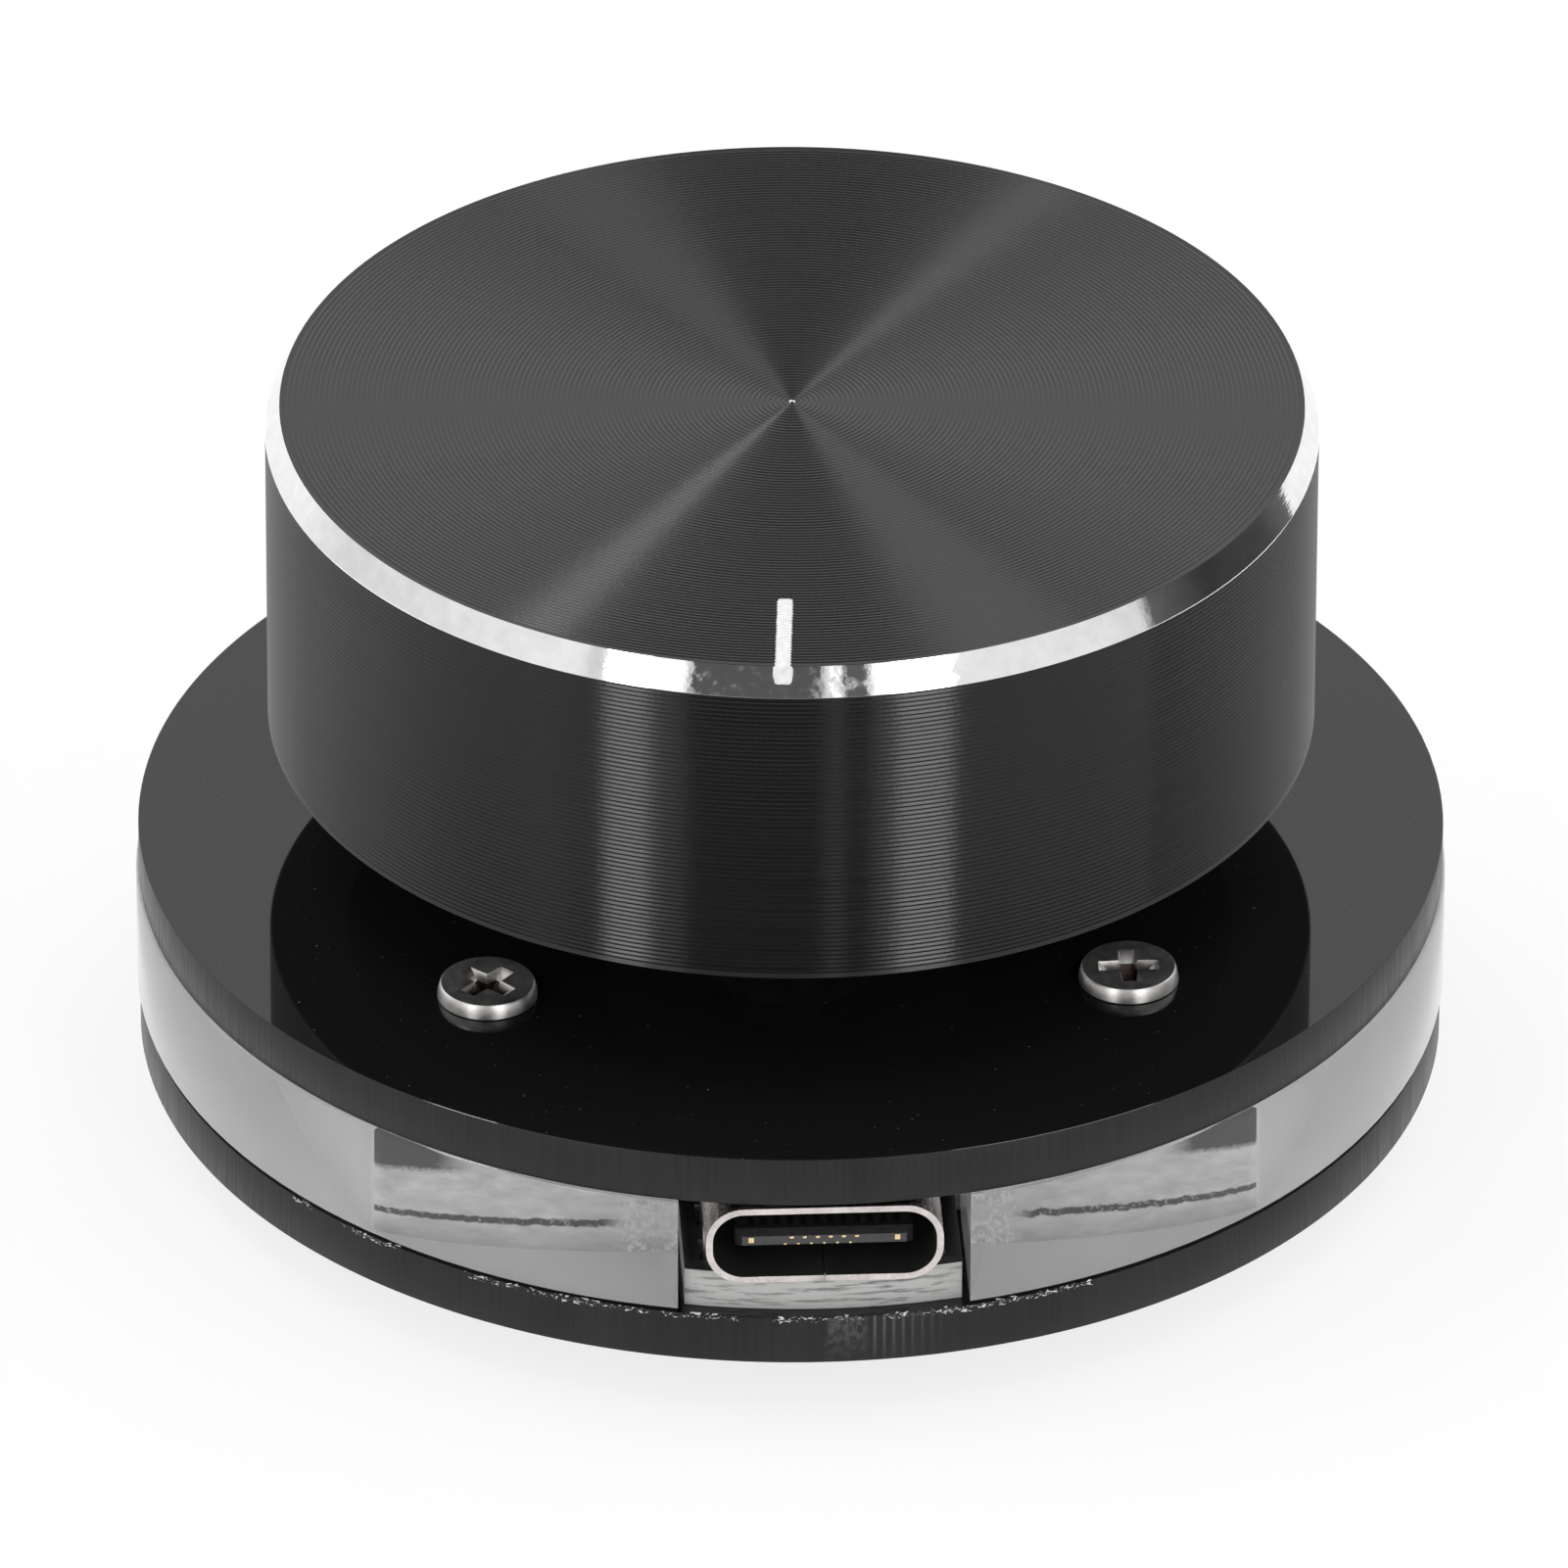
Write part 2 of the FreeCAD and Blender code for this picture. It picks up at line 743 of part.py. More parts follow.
def pointer_bar():
    """The pointer's groove: along the top and over the upper part of the rim's bevel."""
    floor_z = knob_top_z - pointer_depth
    rim_radius = knob_radius - knob_chamfer_width
    bevel_drop = knob_chamfer_height * pointer_rim_share
    bevel_run = knob_chamfer_width * pointer_rim_share
    end_z = knob_top_z - bevel_drop
    profile = [
        (pointer_length - rim_radius, knob_top_z), (-rim_radius, knob_top_z),
        (-rim_radius - bevel_run, end_z), (pointer_depth - rim_radius - bevel_run, end_z),
        (pointer_depth - rim_radius, floor_z), (pointer_length - rim_radius, floor_z)]
    return strip_along_x(profile, both_ways(pointer_width / 2))


def along_y_cylinder(radius, low_y, high_y, z):
    return Part.makeCylinder(radius, high_y - low_y, FreeCAD.Vector(0, low_y, z), along_y)


def make_knob():
    hollow_top_z = knob_top_z - knob_top_thickness
    hollow = cylinder(knob_radius - knob_wall, knob_low_z - overrun, hollow_top_z)
    hub = cylinder(knob_hub_radius, hub_low_z, hollow_top_z)
    knob = knob_outline().cut(hollow.cut(hub))
    thread_radius = set_screw_radius + set_screw_clearance
    hub_hole = along_y_cylinder(thread_radius, 0, knob_hub_radius + overrun, set_screw_z)
    access_radius = set_screw_radius + set_screw_access_gap
    access = along_y_cylinder(access_radius, knob_hub_radius + overrun, knob_radius + overrun, set_screw_z)
    return turned(cut_all(knob, [knob_bore(), hub_hole, access, pointer_bar()]), knob_rest_angle)


def make_pointer():
    return turned(pointer_bar().common(knob_outline()), knob_rest_angle)


def make_set_screw():
    low_y = shaft_radius - shaft_flat_depth + set_screw_flat_gap
    high_y = knob_hub_radius - set_screw_inset
    screw = along_y_cylinder(set_screw_radius, low_y, high_y, set_screw_z)
    socket = hexagon(set_screw_hex, 0, set_screw_hex_depth + overrun)
    socket.rotate(centre, along_x, -90)
    socket = moved(socket, 0, high_y - set_screw_hex_depth, set_screw_z)
    return turned(screw.cut(socket), knob_rest_angle)


pieces = {
    "rubber_feet": make_feet(),
    "bottom_plate": make_bottom_plate(),
    "clear_ring": make_ring(),
    "top_plate": make_top_plate(),
    "top_screws": make_top_screws(),
    "bottom_screws": make_bottom_screws(),
    "standoffs": make_standoffs(),
    "circuit_board": make_board(),
    "usb_shell": make_socket_shell(),
    "usb_tongue": make_tongue(),
    "usb_contacts": make_contacts(),
    "controller_chip": make_chip(),
    "controller_leads": make_chip_leads(),
    "chip_capacitors": make_capacitors(),
    "chip_resistors": make_resistors(),
    "ring_lights": make_lights(),
    "encoder_base": make_encoder_base(),
    "encoder_housing": make_encoder_housing(),
    "encoder_bushing": make_bushing(),
    "encoder_bracket": make_bracket(),
    "encoder_terminals": make_terminals(),
    "detent_spring": make_detent_spring(),
    "contact_wipers": make_wipers(),
    "switch_dome": make_dome(),
    "encoder_rotor": make_rotor(),
    "encoder_shaft": make_shaft(),
    "shaft_clip": make_clip(),
    "knob_body": make_knob(),
    "pointer_mark": make_pointer(),
    "knob_set_screw": make_set_screw(),
}

os.makedirs("parts", exist_ok=True)
for name, shape in pieces.items():
    shape.exportStep("parts/" + name + ".step")
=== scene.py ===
import math
import random

import bmesh
import bpy
from mathutils import Matrix, Vector, noise


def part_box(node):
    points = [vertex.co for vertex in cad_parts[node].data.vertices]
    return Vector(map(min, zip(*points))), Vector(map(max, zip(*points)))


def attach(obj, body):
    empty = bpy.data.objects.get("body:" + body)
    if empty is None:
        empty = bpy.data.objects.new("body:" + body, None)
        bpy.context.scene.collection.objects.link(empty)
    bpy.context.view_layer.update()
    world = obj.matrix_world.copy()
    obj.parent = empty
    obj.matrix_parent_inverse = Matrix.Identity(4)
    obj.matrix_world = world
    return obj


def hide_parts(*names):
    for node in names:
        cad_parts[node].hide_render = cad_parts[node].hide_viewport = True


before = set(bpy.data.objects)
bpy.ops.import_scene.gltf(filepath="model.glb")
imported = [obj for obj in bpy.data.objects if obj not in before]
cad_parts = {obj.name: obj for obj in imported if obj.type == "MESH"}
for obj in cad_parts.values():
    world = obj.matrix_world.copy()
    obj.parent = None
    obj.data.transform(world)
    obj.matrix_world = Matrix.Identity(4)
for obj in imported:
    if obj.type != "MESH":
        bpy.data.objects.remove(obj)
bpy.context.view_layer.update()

MM = 0.001
UP = Vector((0, 0, 1))
WELD = 0.0005 * MM
CUT_MARGIN = 1 * MM

# Sizes read from the frame, in metres
knob_low, knob_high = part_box("knob_body")
plate_low, plate_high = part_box("top_plate")
base_low, base_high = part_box("bottom_plate")
ring_low, ring_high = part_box("clear_ring")
shell_low, shell_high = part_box("usb_shell")
tongue_low, tongue_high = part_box("usb_tongue")
board_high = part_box("circuit_board")[1]
screw_low, screw_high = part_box("top_screws")
lower_screw_low, lower_screw_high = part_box("bottom_screws")
set_screw_low, set_screw_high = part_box("knob_set_screw")
contact_low, contact_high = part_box("usb_contacts")

# Camera, at the photograph's viewing angle
CAMERA_DISTANCE = 900 * MM
CAMERA_ELEVATION = math.radians(31.361)
CAMERA_AZIMUTH = math.radians(-3.068)
CAMERA_ROLL = math.radians(0.19)
CAMERA_SIDE = -0.225 * MM
CAMERA_RISE = 10.464 * MM
CAMERA_LENS = 535.8
CAMERA_SENSOR = 36.0

# Ring
RING_EDGE_ROUND = 0.1 * MM
RING_GAP_BELOW = 0.2 * MM
RING_GAP_ABOVE = 0.01 * MM
RING_WALL_MARGIN = 0.4 * MM
RIM_TOLERANCE = 0.02 * MM
LEVEL_TOLERANCE = 0.01 * MM
SLOT_MARGIN = 2 * MM

# Marks on the pocket's front walls, and painted shade along the foot of all its walls, in
# millimetres: a pair is the two ends of a faded edge, and a wander is how far noise moves it
LINE_HEIGHT = 5.16
LINE_FADE = (0.09, 0.15)
LINE_REACH = (6.6, 7.4)
LINE_WANDER = 0.3
PATCH_REACH = (12.2, 13.6)
PATCH_HEIGHT = (6.85, 7.1)
PATCH_WANDER = 2.0
WORN_REACH = (7.0, 6.4)
# Painted shade at the walls' foot: strongest at the first height, gone at the second
FOOT_SHADE = (3.7, 4.9)

# Where marks on the front end, going back, in millimetres
FRONT_HALF = (-1, 0)

# Flakes along the seam under the ring; angles in degrees from the front
CHIP_SEED = 5
CHIP_COUNT = 1300
CHIP_START = -52
CHIP_END = 24
CHIP_GAPS = -0.28
CHIP_CLUSTERS = 14
CHIP_SIZE = 0.17 * MM
CHIP_SMALLEST = 0.25
CHIP_SIZE_POWER = 2.6
CHIP_SINK = 0.25
CHIP_DROP = 0.2 * MM
# Reach along the seam, outwards and upwards, in flake sizes
CHIP_REACH = (1.6, 0.5, 0.6)

# Knob
KNOB_STEPS = 180
KNOB_ANGLE = math.radians(-4.0)
KNOB_RADIUS = knob_high.x
KNOB_TOP = knob_high.z
KNOB_BASE = knob_low.z
BEVEL_WIDTH = 0.55 * MM
BEVEL_HEIGHT = 1.1 * MM
KNOB_WALL = 3.0 * MM
KNOB_TOP_THICKNESS = 2.0 * MM
HUB_RADIUS = 7.0 * MM
HUB_BASE = 18.9 * MM
BORE_RADIUS = 3.04 * MM
BORE_END = 27.8 * MM
KNOB_CHAMFER = 0.06 * MM
PIP_RADIUS = 0.12 * MM
PIP_SINK = 0.05 * MM
TOP_PITCH = 0.2 * MM
TOP_DEPTH = 0.024 * MM
TOP_LEAN = 0.4
SIDE_PITCH = 0.19 * MM
SIDE_DEPTH = 0.043 * MM
SIDE_MARGIN = 0.1 * MM
EDGE_BREAK = 0.01 * MM
ACCESS_RADIUS = 1.7 * MM
THREAD_RADIUS = 1.55 * MM
# Where the smears beside the pointer fade out, in millimetres to the side
WISP_REACH = (4.5, 6)

# Pointer
POINTER_WIDTH = 0.62 * MM
POINTER_START = 14.55 * MM
POINTER_END = 19.75 * MM
POINTER_ROWS = (50, 16)
POINTER_ACROSS = 6
PAINT_STAND = 0.015 * MM
PAINT_DEPTH = 0.03 * MM
PAINT_SINK = 0.02 * MM
PAINT_WANDER = 0.02 * MM
PAINT_LUMP = 0.012 * MM
BLOB_LUMP = 0.05 * MM
BLOB_SWELL = 0.26
BLOB_PLACE = 0.14 * MM
BLOB_LENGTH = 0.16 * MM

# Plates
PLATE_STEPS = 1440
PLATE_RIPPLE = 0.03 * MM
PLATE_RIPPLE_LEAST = 0.15
PLATE_STROKES = 90
PLATE_DRIFT = 4
PLATE_EDGE_ROUND = 0.03 * MM
PLATE_WELD = 0.0002 * MM
OPENING_HALF_X = 6.8 * MM
OPENING_HALF_Y = 6.4 * MM
OPENING_CORNER = 0.5 * MM
SCREW_X = 12.15 * MM
SCREW_Y = 12.70 * MM
SCREW_HOLE = 1.1 * MM

# Marks on the lower plate's front edge, in millimetres: a ground patch, then ribs that fade out
RIB_PITCH = 0.36
RIB_START = (1.45, 1.85)
RIB_END = (1.65, 4.7)
GROUND_START = (-0.05, 0.15)
GROUND_END = (1.45, 1.75)
MARKS_TOP = (base_high.z / MM, base_high.z / MM + 0.1)
MARKS_FOOT = (base_high.z / MM - 1.9, base_high.z / MM - 0.6)

# Screws
SCREW_STEPS = 64
HEAD_RADIUS = 1.9 * MM
HEAD_FLAT = 1.76 * MM
HEAD_HEIGHT = 0.6 * MM
SHANK_RADIUS = 1.0 * MM
THREAD_PITCH = 0.4 * MM
THREAD_DEPTH = 0.12 * MM
HEAD_UNDERCUT = 0.05 * MM
TIP_LENGTH = 0.2 * MM
RECESS_DEPTH = 1.0 * MM
# Share of the way out and share of the head's height, for the rings of its rounded shoulder
SHOULDER_ROWS = ((0.15, 0.04), (0.55, 0.3), (0.85, 0.6), (1, 0.92))
# Depth share, half length and half width of the cross recess, from above the head to its floor
RECESS_ROWS = (
    (-0.1, 1.24, 0.34), (0, 1.14, 0.32), (0.12, 0.98, 0.27), (0.4, 0.76, 0.25), (1, 0.42, 0.22))
# Radius within which the recess's deep faces are painted dark, as painted shade
RECESS_SHADE_RADIUS = 0.62 * MM
SCREW_TURNS = (45, 0, 70, 20)

# Floor
FLOOR_RADIUS = 320 * MM
FLOOR_GAP = 0.01 * MM
FLOOR_LIT = 0.75
FLOOR_SEEN = 0.95
FLOOR_GLOW = 0.8

# Socket
SEAM_WIDTH = 0.04 * MM
SEAM_LENGTH = 3.0 * MM
SEAM_DROP = 0.6 * MM
SEAM_RISE = 0.2 * MM
SHELL_EDGE_ROUND = 0.05 * MM
TONGUE_EDGE_ROUND = 0.04 * MM
STRIP_EDGE_ROUND = 0.02 * MM
CONTACT_PITCH = 0.49 * MM
TIP_COUNT = 6
TIP_RADIUS = 0.075 * MM
STRIP_FRONT = 1 * MM
STRIP_SETBACK = 1.8 * MM
TONGUE_HALF_WIDTH = 3.345 * MM
NOSE_LENGTH = 0.5 * MM
NOSE_OVERLAP = 0.05 * MM
NOSE_SLOPE = 0.25 * MM
NOSE_STAND = 0.03 * MM
TIP_ROW_RISE = 0.07 * MM
TIP_ROW_DROP = 0.2 * MM
TIP_SHAPE = (1.2, 0.3, 0.75, 1)
LOW_TIP_SHAPE = (0.8, 0.3, 0.6, 1)
PAD_SIDE = 2.75 * MM
PAD_SIZE = (0.2 * MM, 0.04 * MM, 0.22 * MM, 1)


# Node building


def add(tree, kind, inputs=None, **settings):
    """A shader node; an input takes a value or another node's output."""
    made = tree.nodes.new("ShaderNode" + kind)
    for key, value in settings.items():
        setattr(made, key, value)
    for key, value in (inputs or {}).items():
        socket = made.inputs[key]
        if isinstance(value, bpy.types.NodeSocket):
            tree.links.new(value, socket)
        else:
            socket.default_value = value
    return made


def new_material(name, **constants):
    """A material and its tree, with the Principled shader's constant inputs set by name."""
    material = bpy.data.materials.new(name)
    material.use_nodes = True
    tree = material.node_tree
    shader = tree.nodes["Principled BSDF"]
    for key, value in constants.items():
        shader.inputs[key.replace("_", " ").title().replace("Ior", "IOR")].default_value = value
    return material, tree, shader


def grey(level):
    """A grey with full alpha."""
    return (level, level, level, 1)


def opaque(colour):
    """A colour with full alpha; one number stands for a grey."""
    return (*colour, 1) if isinstance(colour, tuple) else grey(colour)


def object_place(tree, stretch=(1, 1, 1)):
    """The place on the piece, in millimetres, stretched along each axis."""
    place = add(tree, "TexCoord").outputs["Object"]
    scale = tuple(s / MM for s in stretch)
    return add(tree, "Mapping", {"Vector": place, "Scale": scale}).outputs["Vector"]


def grain(tree, place, size, detail=3.0, rough=0.55):
    """Noise whose marks are about size millimetres wide."""
    inputs = {"Vector": place, "Scale": 1 / size, "Detail": detail, "Roughness": rough}
    return add(tree, "TexNoise", inputs).outputs["Fac"]


def spread(tree, value, low, high, start=0.3, end=0.7):
    """Maps a noise value from its usual range to low..high."""
    inputs = {"Value": value, "From Min": start, "From Max": end, "To Min": low, "To Max": high}
    return add(tree, "MapRange", inputs).outputs["Result"]


def blend_colours(tree, factor, first, second):
    """A mix of two colours: the first at factor 0, the second at 1."""
    mix = add(tree, "Mix", data_type="RGBA")
    for key, value in ((0, factor), (6, first), (7, second)):
        if isinstance(value, bpy.types.NodeSocket):
            tree.links.new(value, mix.inputs[key])
        else:
            mix.inputs[key].default_value = value
    return mix.outputs[2]


def bump(tree, shader, height, depth, strength=1.0):
    """Relief of depth millimetres on the shader's normal."""
    inputs = {"Height": height, "Distance": depth * MM, "Strength": strength}
    tree.links.new(add(tree, "Bump", inputs).outputs["Normal"], shader.inputs["Normal"])


def maths(tree, operation, *values):
    """The result of one step of arithmetic on one to three values."""
    return add(tree, "Math", dict(enumerate(values)), operation=operation).outputs[0]


def product(tree, *factors):
    """Several values multiplied."""
    result = factors[0]
    for factor in factors[1:]:
        result = maths(tree, "MULTIPLY", result, factor)
    return result


def ragged(tree, value, jitter, amount):
    """A value moved to and fro by a noise, over an amount in all."""
    return maths(tree, "SUBTRACT", maths(tree, "MULTIPLY_ADD", jitter, amount, value), amount / 2)


def parts_of(tree, vector):
    """A vector's three parts."""
    return list(add(tree, "SeparateXYZ", {"Vector": vector}).outputs)


def flat_share(tree):
    """One on faces that look up or down, nothing on upright ones."""
    _, _, upward = parts_of(tree, add(tree, "TexCoord").outputs["Normal"])
    return spread(tree, maths(tree, "ABSOLUTE", upward), 0, 1, 0.6, 0.8)


def dress(tree, shader, colour, rough):
    """Connects the shader's colour and roughness."""
    tree.links.new(colour, shader.inputs["Base Color"])
    tree.links.new(rough, shader.inputs["Roughness"])


def around_axis(tree, angular):
    """Coordinates that follow turned work: radius and height in millimetres, and a scaled angle."""
    x, y, z = parts_of(tree, object_place(tree))
    flat = add(tree, "CombineXYZ", {"X": x, "Y": y}).outputs["Vector"]
    length = add(tree, "VectorMath", {0: flat}, operation="LENGTH").outputs["Value"]
    angle = maths(tree, "MULTIPLY", maths(tree, "ARCTAN2", y, x), angular)
    return add(tree, "CombineXYZ", {"X": length, "Y": z, "Z": angle}).outputs["Vector"]


# Materials


def spun_black(name, ior):
    """Black anodised aluminium, turned: fine rings that spread light across the cut."""
    material, tree, shader = new_material(name, ior=ior, anisotropic=1.0, anisotropic_rotation=0.25)
    rings = grain(tree, around_axis(tree, 0.15), 0.09, 2.0)
    speck = grain(tree, object_place(tree), 0.16, 2.0)
    tone = blend_colours(tree, spread(tree, rings, 0, 1), grey(0.002), grey(0.006))
    mixed = maths(tree, "ADD", rings, speck)
    dress(tree, shader, tone, spread(tree, mixed, 0.21, 0.25, 0.7, 1.3))
    tangent = add(tree, "Tangent", direction_type="RADIAL", axis="Z")
    tree.links.new(tangent.outputs["Tangent"], shader.inputs["Tangent"])
    bump(tree, shader, speck, 0.004, 0.5)
    return material


def polished_cut():
    """Bare aluminium, cut bright after anodising: faint turning lines, and smears near the pointer."""
    material, tree, shader = new_material("polished_cut", metallic=1.0)
    lines = grain(tree, around_axis(tree, 0.4), 0.12, 2.0)
    smear = grain(tree, object_place(tree), 0.7, 4.0)
    tone = blend_colours(tree, spread(tree, smear, 0, 1), grey(0.82), grey(0.93))
    wisp = spread(tree, grain(tree, object_place(tree), 0.35, 4.0), 0, 1, 0.48, 0.7)
    across, _, _ = parts_of(tree, object_place(tree))
    near = spread(tree, maths(tree, "ABSOLUTE", across), 1, 0, *WISP_REACH)
    smooth = spread(tree, smear, 0.02, 0.05)
    dress(tree, shader, tone, maths(tree, "MULTIPLY_ADD", product(tree, wisp, near), 0.15, smooth))
    chatter = grain(tree, object_place(tree), 0.3, 3.0)
    bump(tree, shader, maths(tree, "MULTIPLY_ADD", chatter, 1.5, lines), 0.003, 0.4)
    return material


def black_gloss():
    """Polished face of black acrylic, with a little dust and hardly any haze."""
    material, tree, shader = new_material("black_gloss", ior=1.49)
    place = object_place(tree)
    dust = spread(tree, grain(tree, place, 0.13, 1.0), 0, 1, 0.79, 0.82)
    haze = spread(tree, grain(tree, place, 6, 3.0), 0.02, 0.045)
    tone = blend_colours(tree, dust, grey(0.0078), grey(0.16))
    dress(tree, shader, tone, maths(tree, "MULTIPLY_ADD", dust, 0.4, haze))
    return material


def edge_marks(tree):
    """The ground patch and the ribs that show on the front of the lower plate's edge."""
    across, back, upward = parts_of(tree, object_place(tree))
    wave = maths(tree, "SINE", maths(tree, "MULTIPLY", across, 2 * math.pi / RIB_PITCH))
    ribs = product(
        tree,
        spread(tree, wave, 0, 1, 0.2, 0.9),
        spread(tree, across, 0, 1, *RIB_START),
        spread(tree, across, 1, 0, *RIB_END))
    rough = grain(tree, object_place(tree, (1, 1, 0.7)), 0.22, 3.0)
    ground = product(
        tree,
        spread(tree, rough, 0.05, 0.7, 0.42, 0.62),
        spread(tree, across, 0, 1, *GROUND_START),
        spread(tree, across, 1, 0, *GROUND_END))
    return product(
        tree,
        maths(tree, "MAXIMUM", ribs, ground),
        spread(tree, upward, 1, 0, *MARKS_TOP),
        spread(tree, upward, 0.2, 1, *MARKS_FOOT),
        spread(tree, back, 1, 0, *FRONT_HALF))


def cut_edge():
    """Cut edge of the black acrylic: satin, with upright saw lines."""
    material, tree, shader = new_material("cut_edge", ior=1.4)
    lines = grain(tree, object_place(tree, (1, 1, 0.04)), 0.16, 2.0)
    patch = grain(tree, object_place(tree, (1, 1, 0.3)), 3.5, 2.0)
    both = maths(tree, "ADD", lines, patch)
    tone = blend_colours(tree, spread(tree, both, 0, 1, 0.75, 1.3), grey(0.002), grey(0.01))
    tone = blend_colours(tree, edge_marks(tree), tone, grey(0.08))
    dress(tree, shader, tone, spread(tree, lines, 0.3, 0.45))
    bump(tree, shader, lines, 0.02, 0.6)
    return material


def clear_acrylic():
    """The ring's clear acrylic: smooth outside, with a faint haze and upright lines."""
    material, tree, shader = new_material("clear_ring_acrylic", ior=1.49, transmission_weight=0.96)
    lines = grain(tree, object_place(tree, (1, 1, 0.05)), 0.35, 2.0)
    cloud = grain(tree, object_place(tree, (1, 1, 1.5)), 4, 3.0)
    both = maths(tree, "MULTIPLY_ADD", lines, 0.15, cloud)
    tone = blend_colours(tree, spread(tree, both, 0, 1, 0.4, 0.75), grey(0.9), grey(0.97))
    dress(tree, shader, tone, spread(tree, cloud, 0.02, 0.05))
    bump(tree, shader, lines, 0.001, 0.3)
    return material


def cast_face():
    """The ring's flat faces, left matt: they make its depth look milky."""
    material, tree, shader = new_material("matt_acrylic", ior=1.49, roughness=0.6)
    cloud = grain(tree, object_place(tree), 5, 3.0)
    tone = blend_colours(tree, spread(tree, cloud, 0, 1), grey(0.92), grey(0.97))
    tone = blend_colours(tree, flat_share(tree), grey(0.78), tone)
    tree.links.new(tone, shader.inputs["Base Color"])
    return material


def milled_acrylic():
    """The pocket's milled walls, with painted shade along their foot; in front a ragged dark line,
    dark ends and worn corners.
    """
    material, tree, shader = new_material("milled_acrylic", ior=1.49, roughness=0.5)
    marks = grain(tree, object_place(tree, (0.4, 0.4, 1.2)), 0.55, 5.0, 0.65)
    fine = grain(tree, object_place(tree), 0.14, 3.0)
    wobble = grain(tree, object_place(tree, (1, 1, 0)), 0.5, 3.0)
    across, back, upward = parts_of(tree, object_place(tree))
    side = maths(tree, "ABSOLUTE", across)
    front = spread(tree, back, 1, 0, *FRONT_HALF)
    tone = blend_colours(tree, spread(tree, marks, 0, 1), grey(0.6), grey(0.9))
    # Painted shade: the walls turn darker towards their foot
    tone = blend_colours(tree, spread(tree, upward, 0.7, 0, *FOOT_SHADE), tone, grey(0.25))
    outer = spread(tree, ragged(tree, side, marks, PATCH_WANDER), 0, 1, *PATCH_REACH)
    upper = spread(tree, ragged(tree, upward, fine, LINE_WANDER), 0, 0.97, *PATCH_HEIGHT)
    tone = blend_colours(tree, product(tree, front, outer, upper), tone, grey(0.005))
    away = maths(tree, "SUBTRACT", ragged(tree, upward, wobble, LINE_WANDER), LINE_HEIGHT)
    line = product(
        tree, front,
        spread(tree, maths(tree, "ABSOLUTE", away), 1, 0, *LINE_FADE),
        spread(tree, fine, 1, 0.5, 0.56, 0.68),
        spread(tree, side, 0, 1, *LINE_REACH))
    tone = blend_colours(tree, line, tone, grey(0.005))
    worn = spread(tree, fine, 0, 1, 0.45, 0.6)
    worn = product(tree, front, spread(tree, side, 0, 1, *WORN_REACH), worn)
    tone = blend_colours(tree, worn, tone, grey(0.95))
    tree.links.new(tone, shader.inputs["Base Color"])
    bump(tree, shader, marks, 0.02, 0.6)
    return material


def metal(name, colour, dark, rough, size=0.3, relief=0.003, stretch=(1, 1, 1)):
    """A bare or plated metal whose tone and roughness vary over marks of one size."""
    material, tree, shader = new_material(name, metallic=1.0)
    marks = grain(tree, object_place(tree, stretch), size, 4.0)
    smear = grain(tree, object_place(tree), size * 6, 2.0)
    both = maths(tree, "ADD", marks, smear)
    tone = blend_colours(tree, spread(tree, both, 0, 1, 0.7, 1.3), opaque(dark), opaque(colour))
    dress(tree, shader, tone, spread(tree, both, rough[0], rough[1], 0.7, 1.3))
    bump(tree, shader, marks, relief, 0.5)
    return material


def moulded(name, colour, light, rough, size=0.12, relief=0.006, ior=1.5):
    """A moulded plastic, ceramic or rubber with a fine skin."""
    material, tree, shader = new_material(name, ior=ior)
    skin = grain(tree, object_place(tree), size, 3.0)
    patch = grain(tree, object_place(tree), size * 15, 2.0)
    both = maths(tree, "ADD", skin, patch)
    tone = blend_colours(tree, spread(tree, both, 0, 1, 0.7, 1.3), opaque(colour), opaque(light))
    dress(tree, shader, tone, spread(tree, skin, rough[0], rough[1]))
    bump(tree, shader, skin, relief, 0.6)
    return material


def board_material():
    """Glass laminate: a dark lacquered face and a pale cut edge with streaks of fibre."""
    material, tree, shader = new_material("board_laminate_cut", ior=1.5)
    fibres = grain(tree, object_place(tree, (0.1, 0.1, 1)), 0.2, 5.0, 0.62)
    broad = grain(tree, object_place(tree, (0.4, 0.4, 1)), 0.9, 2.0)
    edge = blend_colours(tree, spread(tree, fibres, 0, 1, 0.4, 0.5), grey(0.16), grey(0.5))
    edge = blend_colours(tree, spread(tree, broad, 0, 0.5), edge, (0.5, 0.5, 0.47, 1))
    lacquer = blend_colours(tree, grain(tree, object_place(tree), 1.2), grey(0.010), grey(0.025))
    face = flat_share(tree)
    tone = blend_colours(tree, face, edge, lacquer)
    dress(tree, shader, tone, spread(tree, face, 0.75, 0.32, 0, 1))
    bump(tree, shader, fibres, 0.03, 0.6)
    return material


def paint():
    """White filling paint of the pointer, with a slightly uneven face."""
    material, tree, shader = new_material("pointer_white", ior=1.5)
    lumps = grain(tree, object_place(tree), 0.25, 3.0)
    tone = blend_colours(tree, spread(tree, lumps, 0, 1), grey(0.7), grey(0.86))
    dress(tree, shader, tone, spread(tree, lumps, 0.35, 0.55))
    bump(tree, shader, lumps, 0.02, 0.5)
    return material


SPUN_TOP = spun_black("spun_black_top", 1.5)
SPUN_SIDE = spun_black("spun_black_side", 1.48)
KNOB_INSIDE = moulded("knob_inside", 0.008, 0.014, (0.55, 0.7), 0.15, 0.01, 1.3)
POLISHED = polished_cut()
BLACK_GLOSS = black_gloss()
CUT_EDGE = cut_edge()
CLEAR = clear_acrylic()
MATT = cast_face()
MILLED = milled_acrylic()
BOARD = board_material()
PAINT = paint()
FLAKE = moulded("acrylic_flake", 0.5, 0.8, (0.2, 0.4), 0.05, 0.002)
RUBBER = moulded("foot_rubber_black", 0.012, 0.03, (0.6, 0.85), 0.2, 0.02)
SCREW = metal("screw_nickel", (0.74, 0.72, 0.7), (0.5, 0.49, 0.48), (0.3, 0.46), 0.35, 0.006)
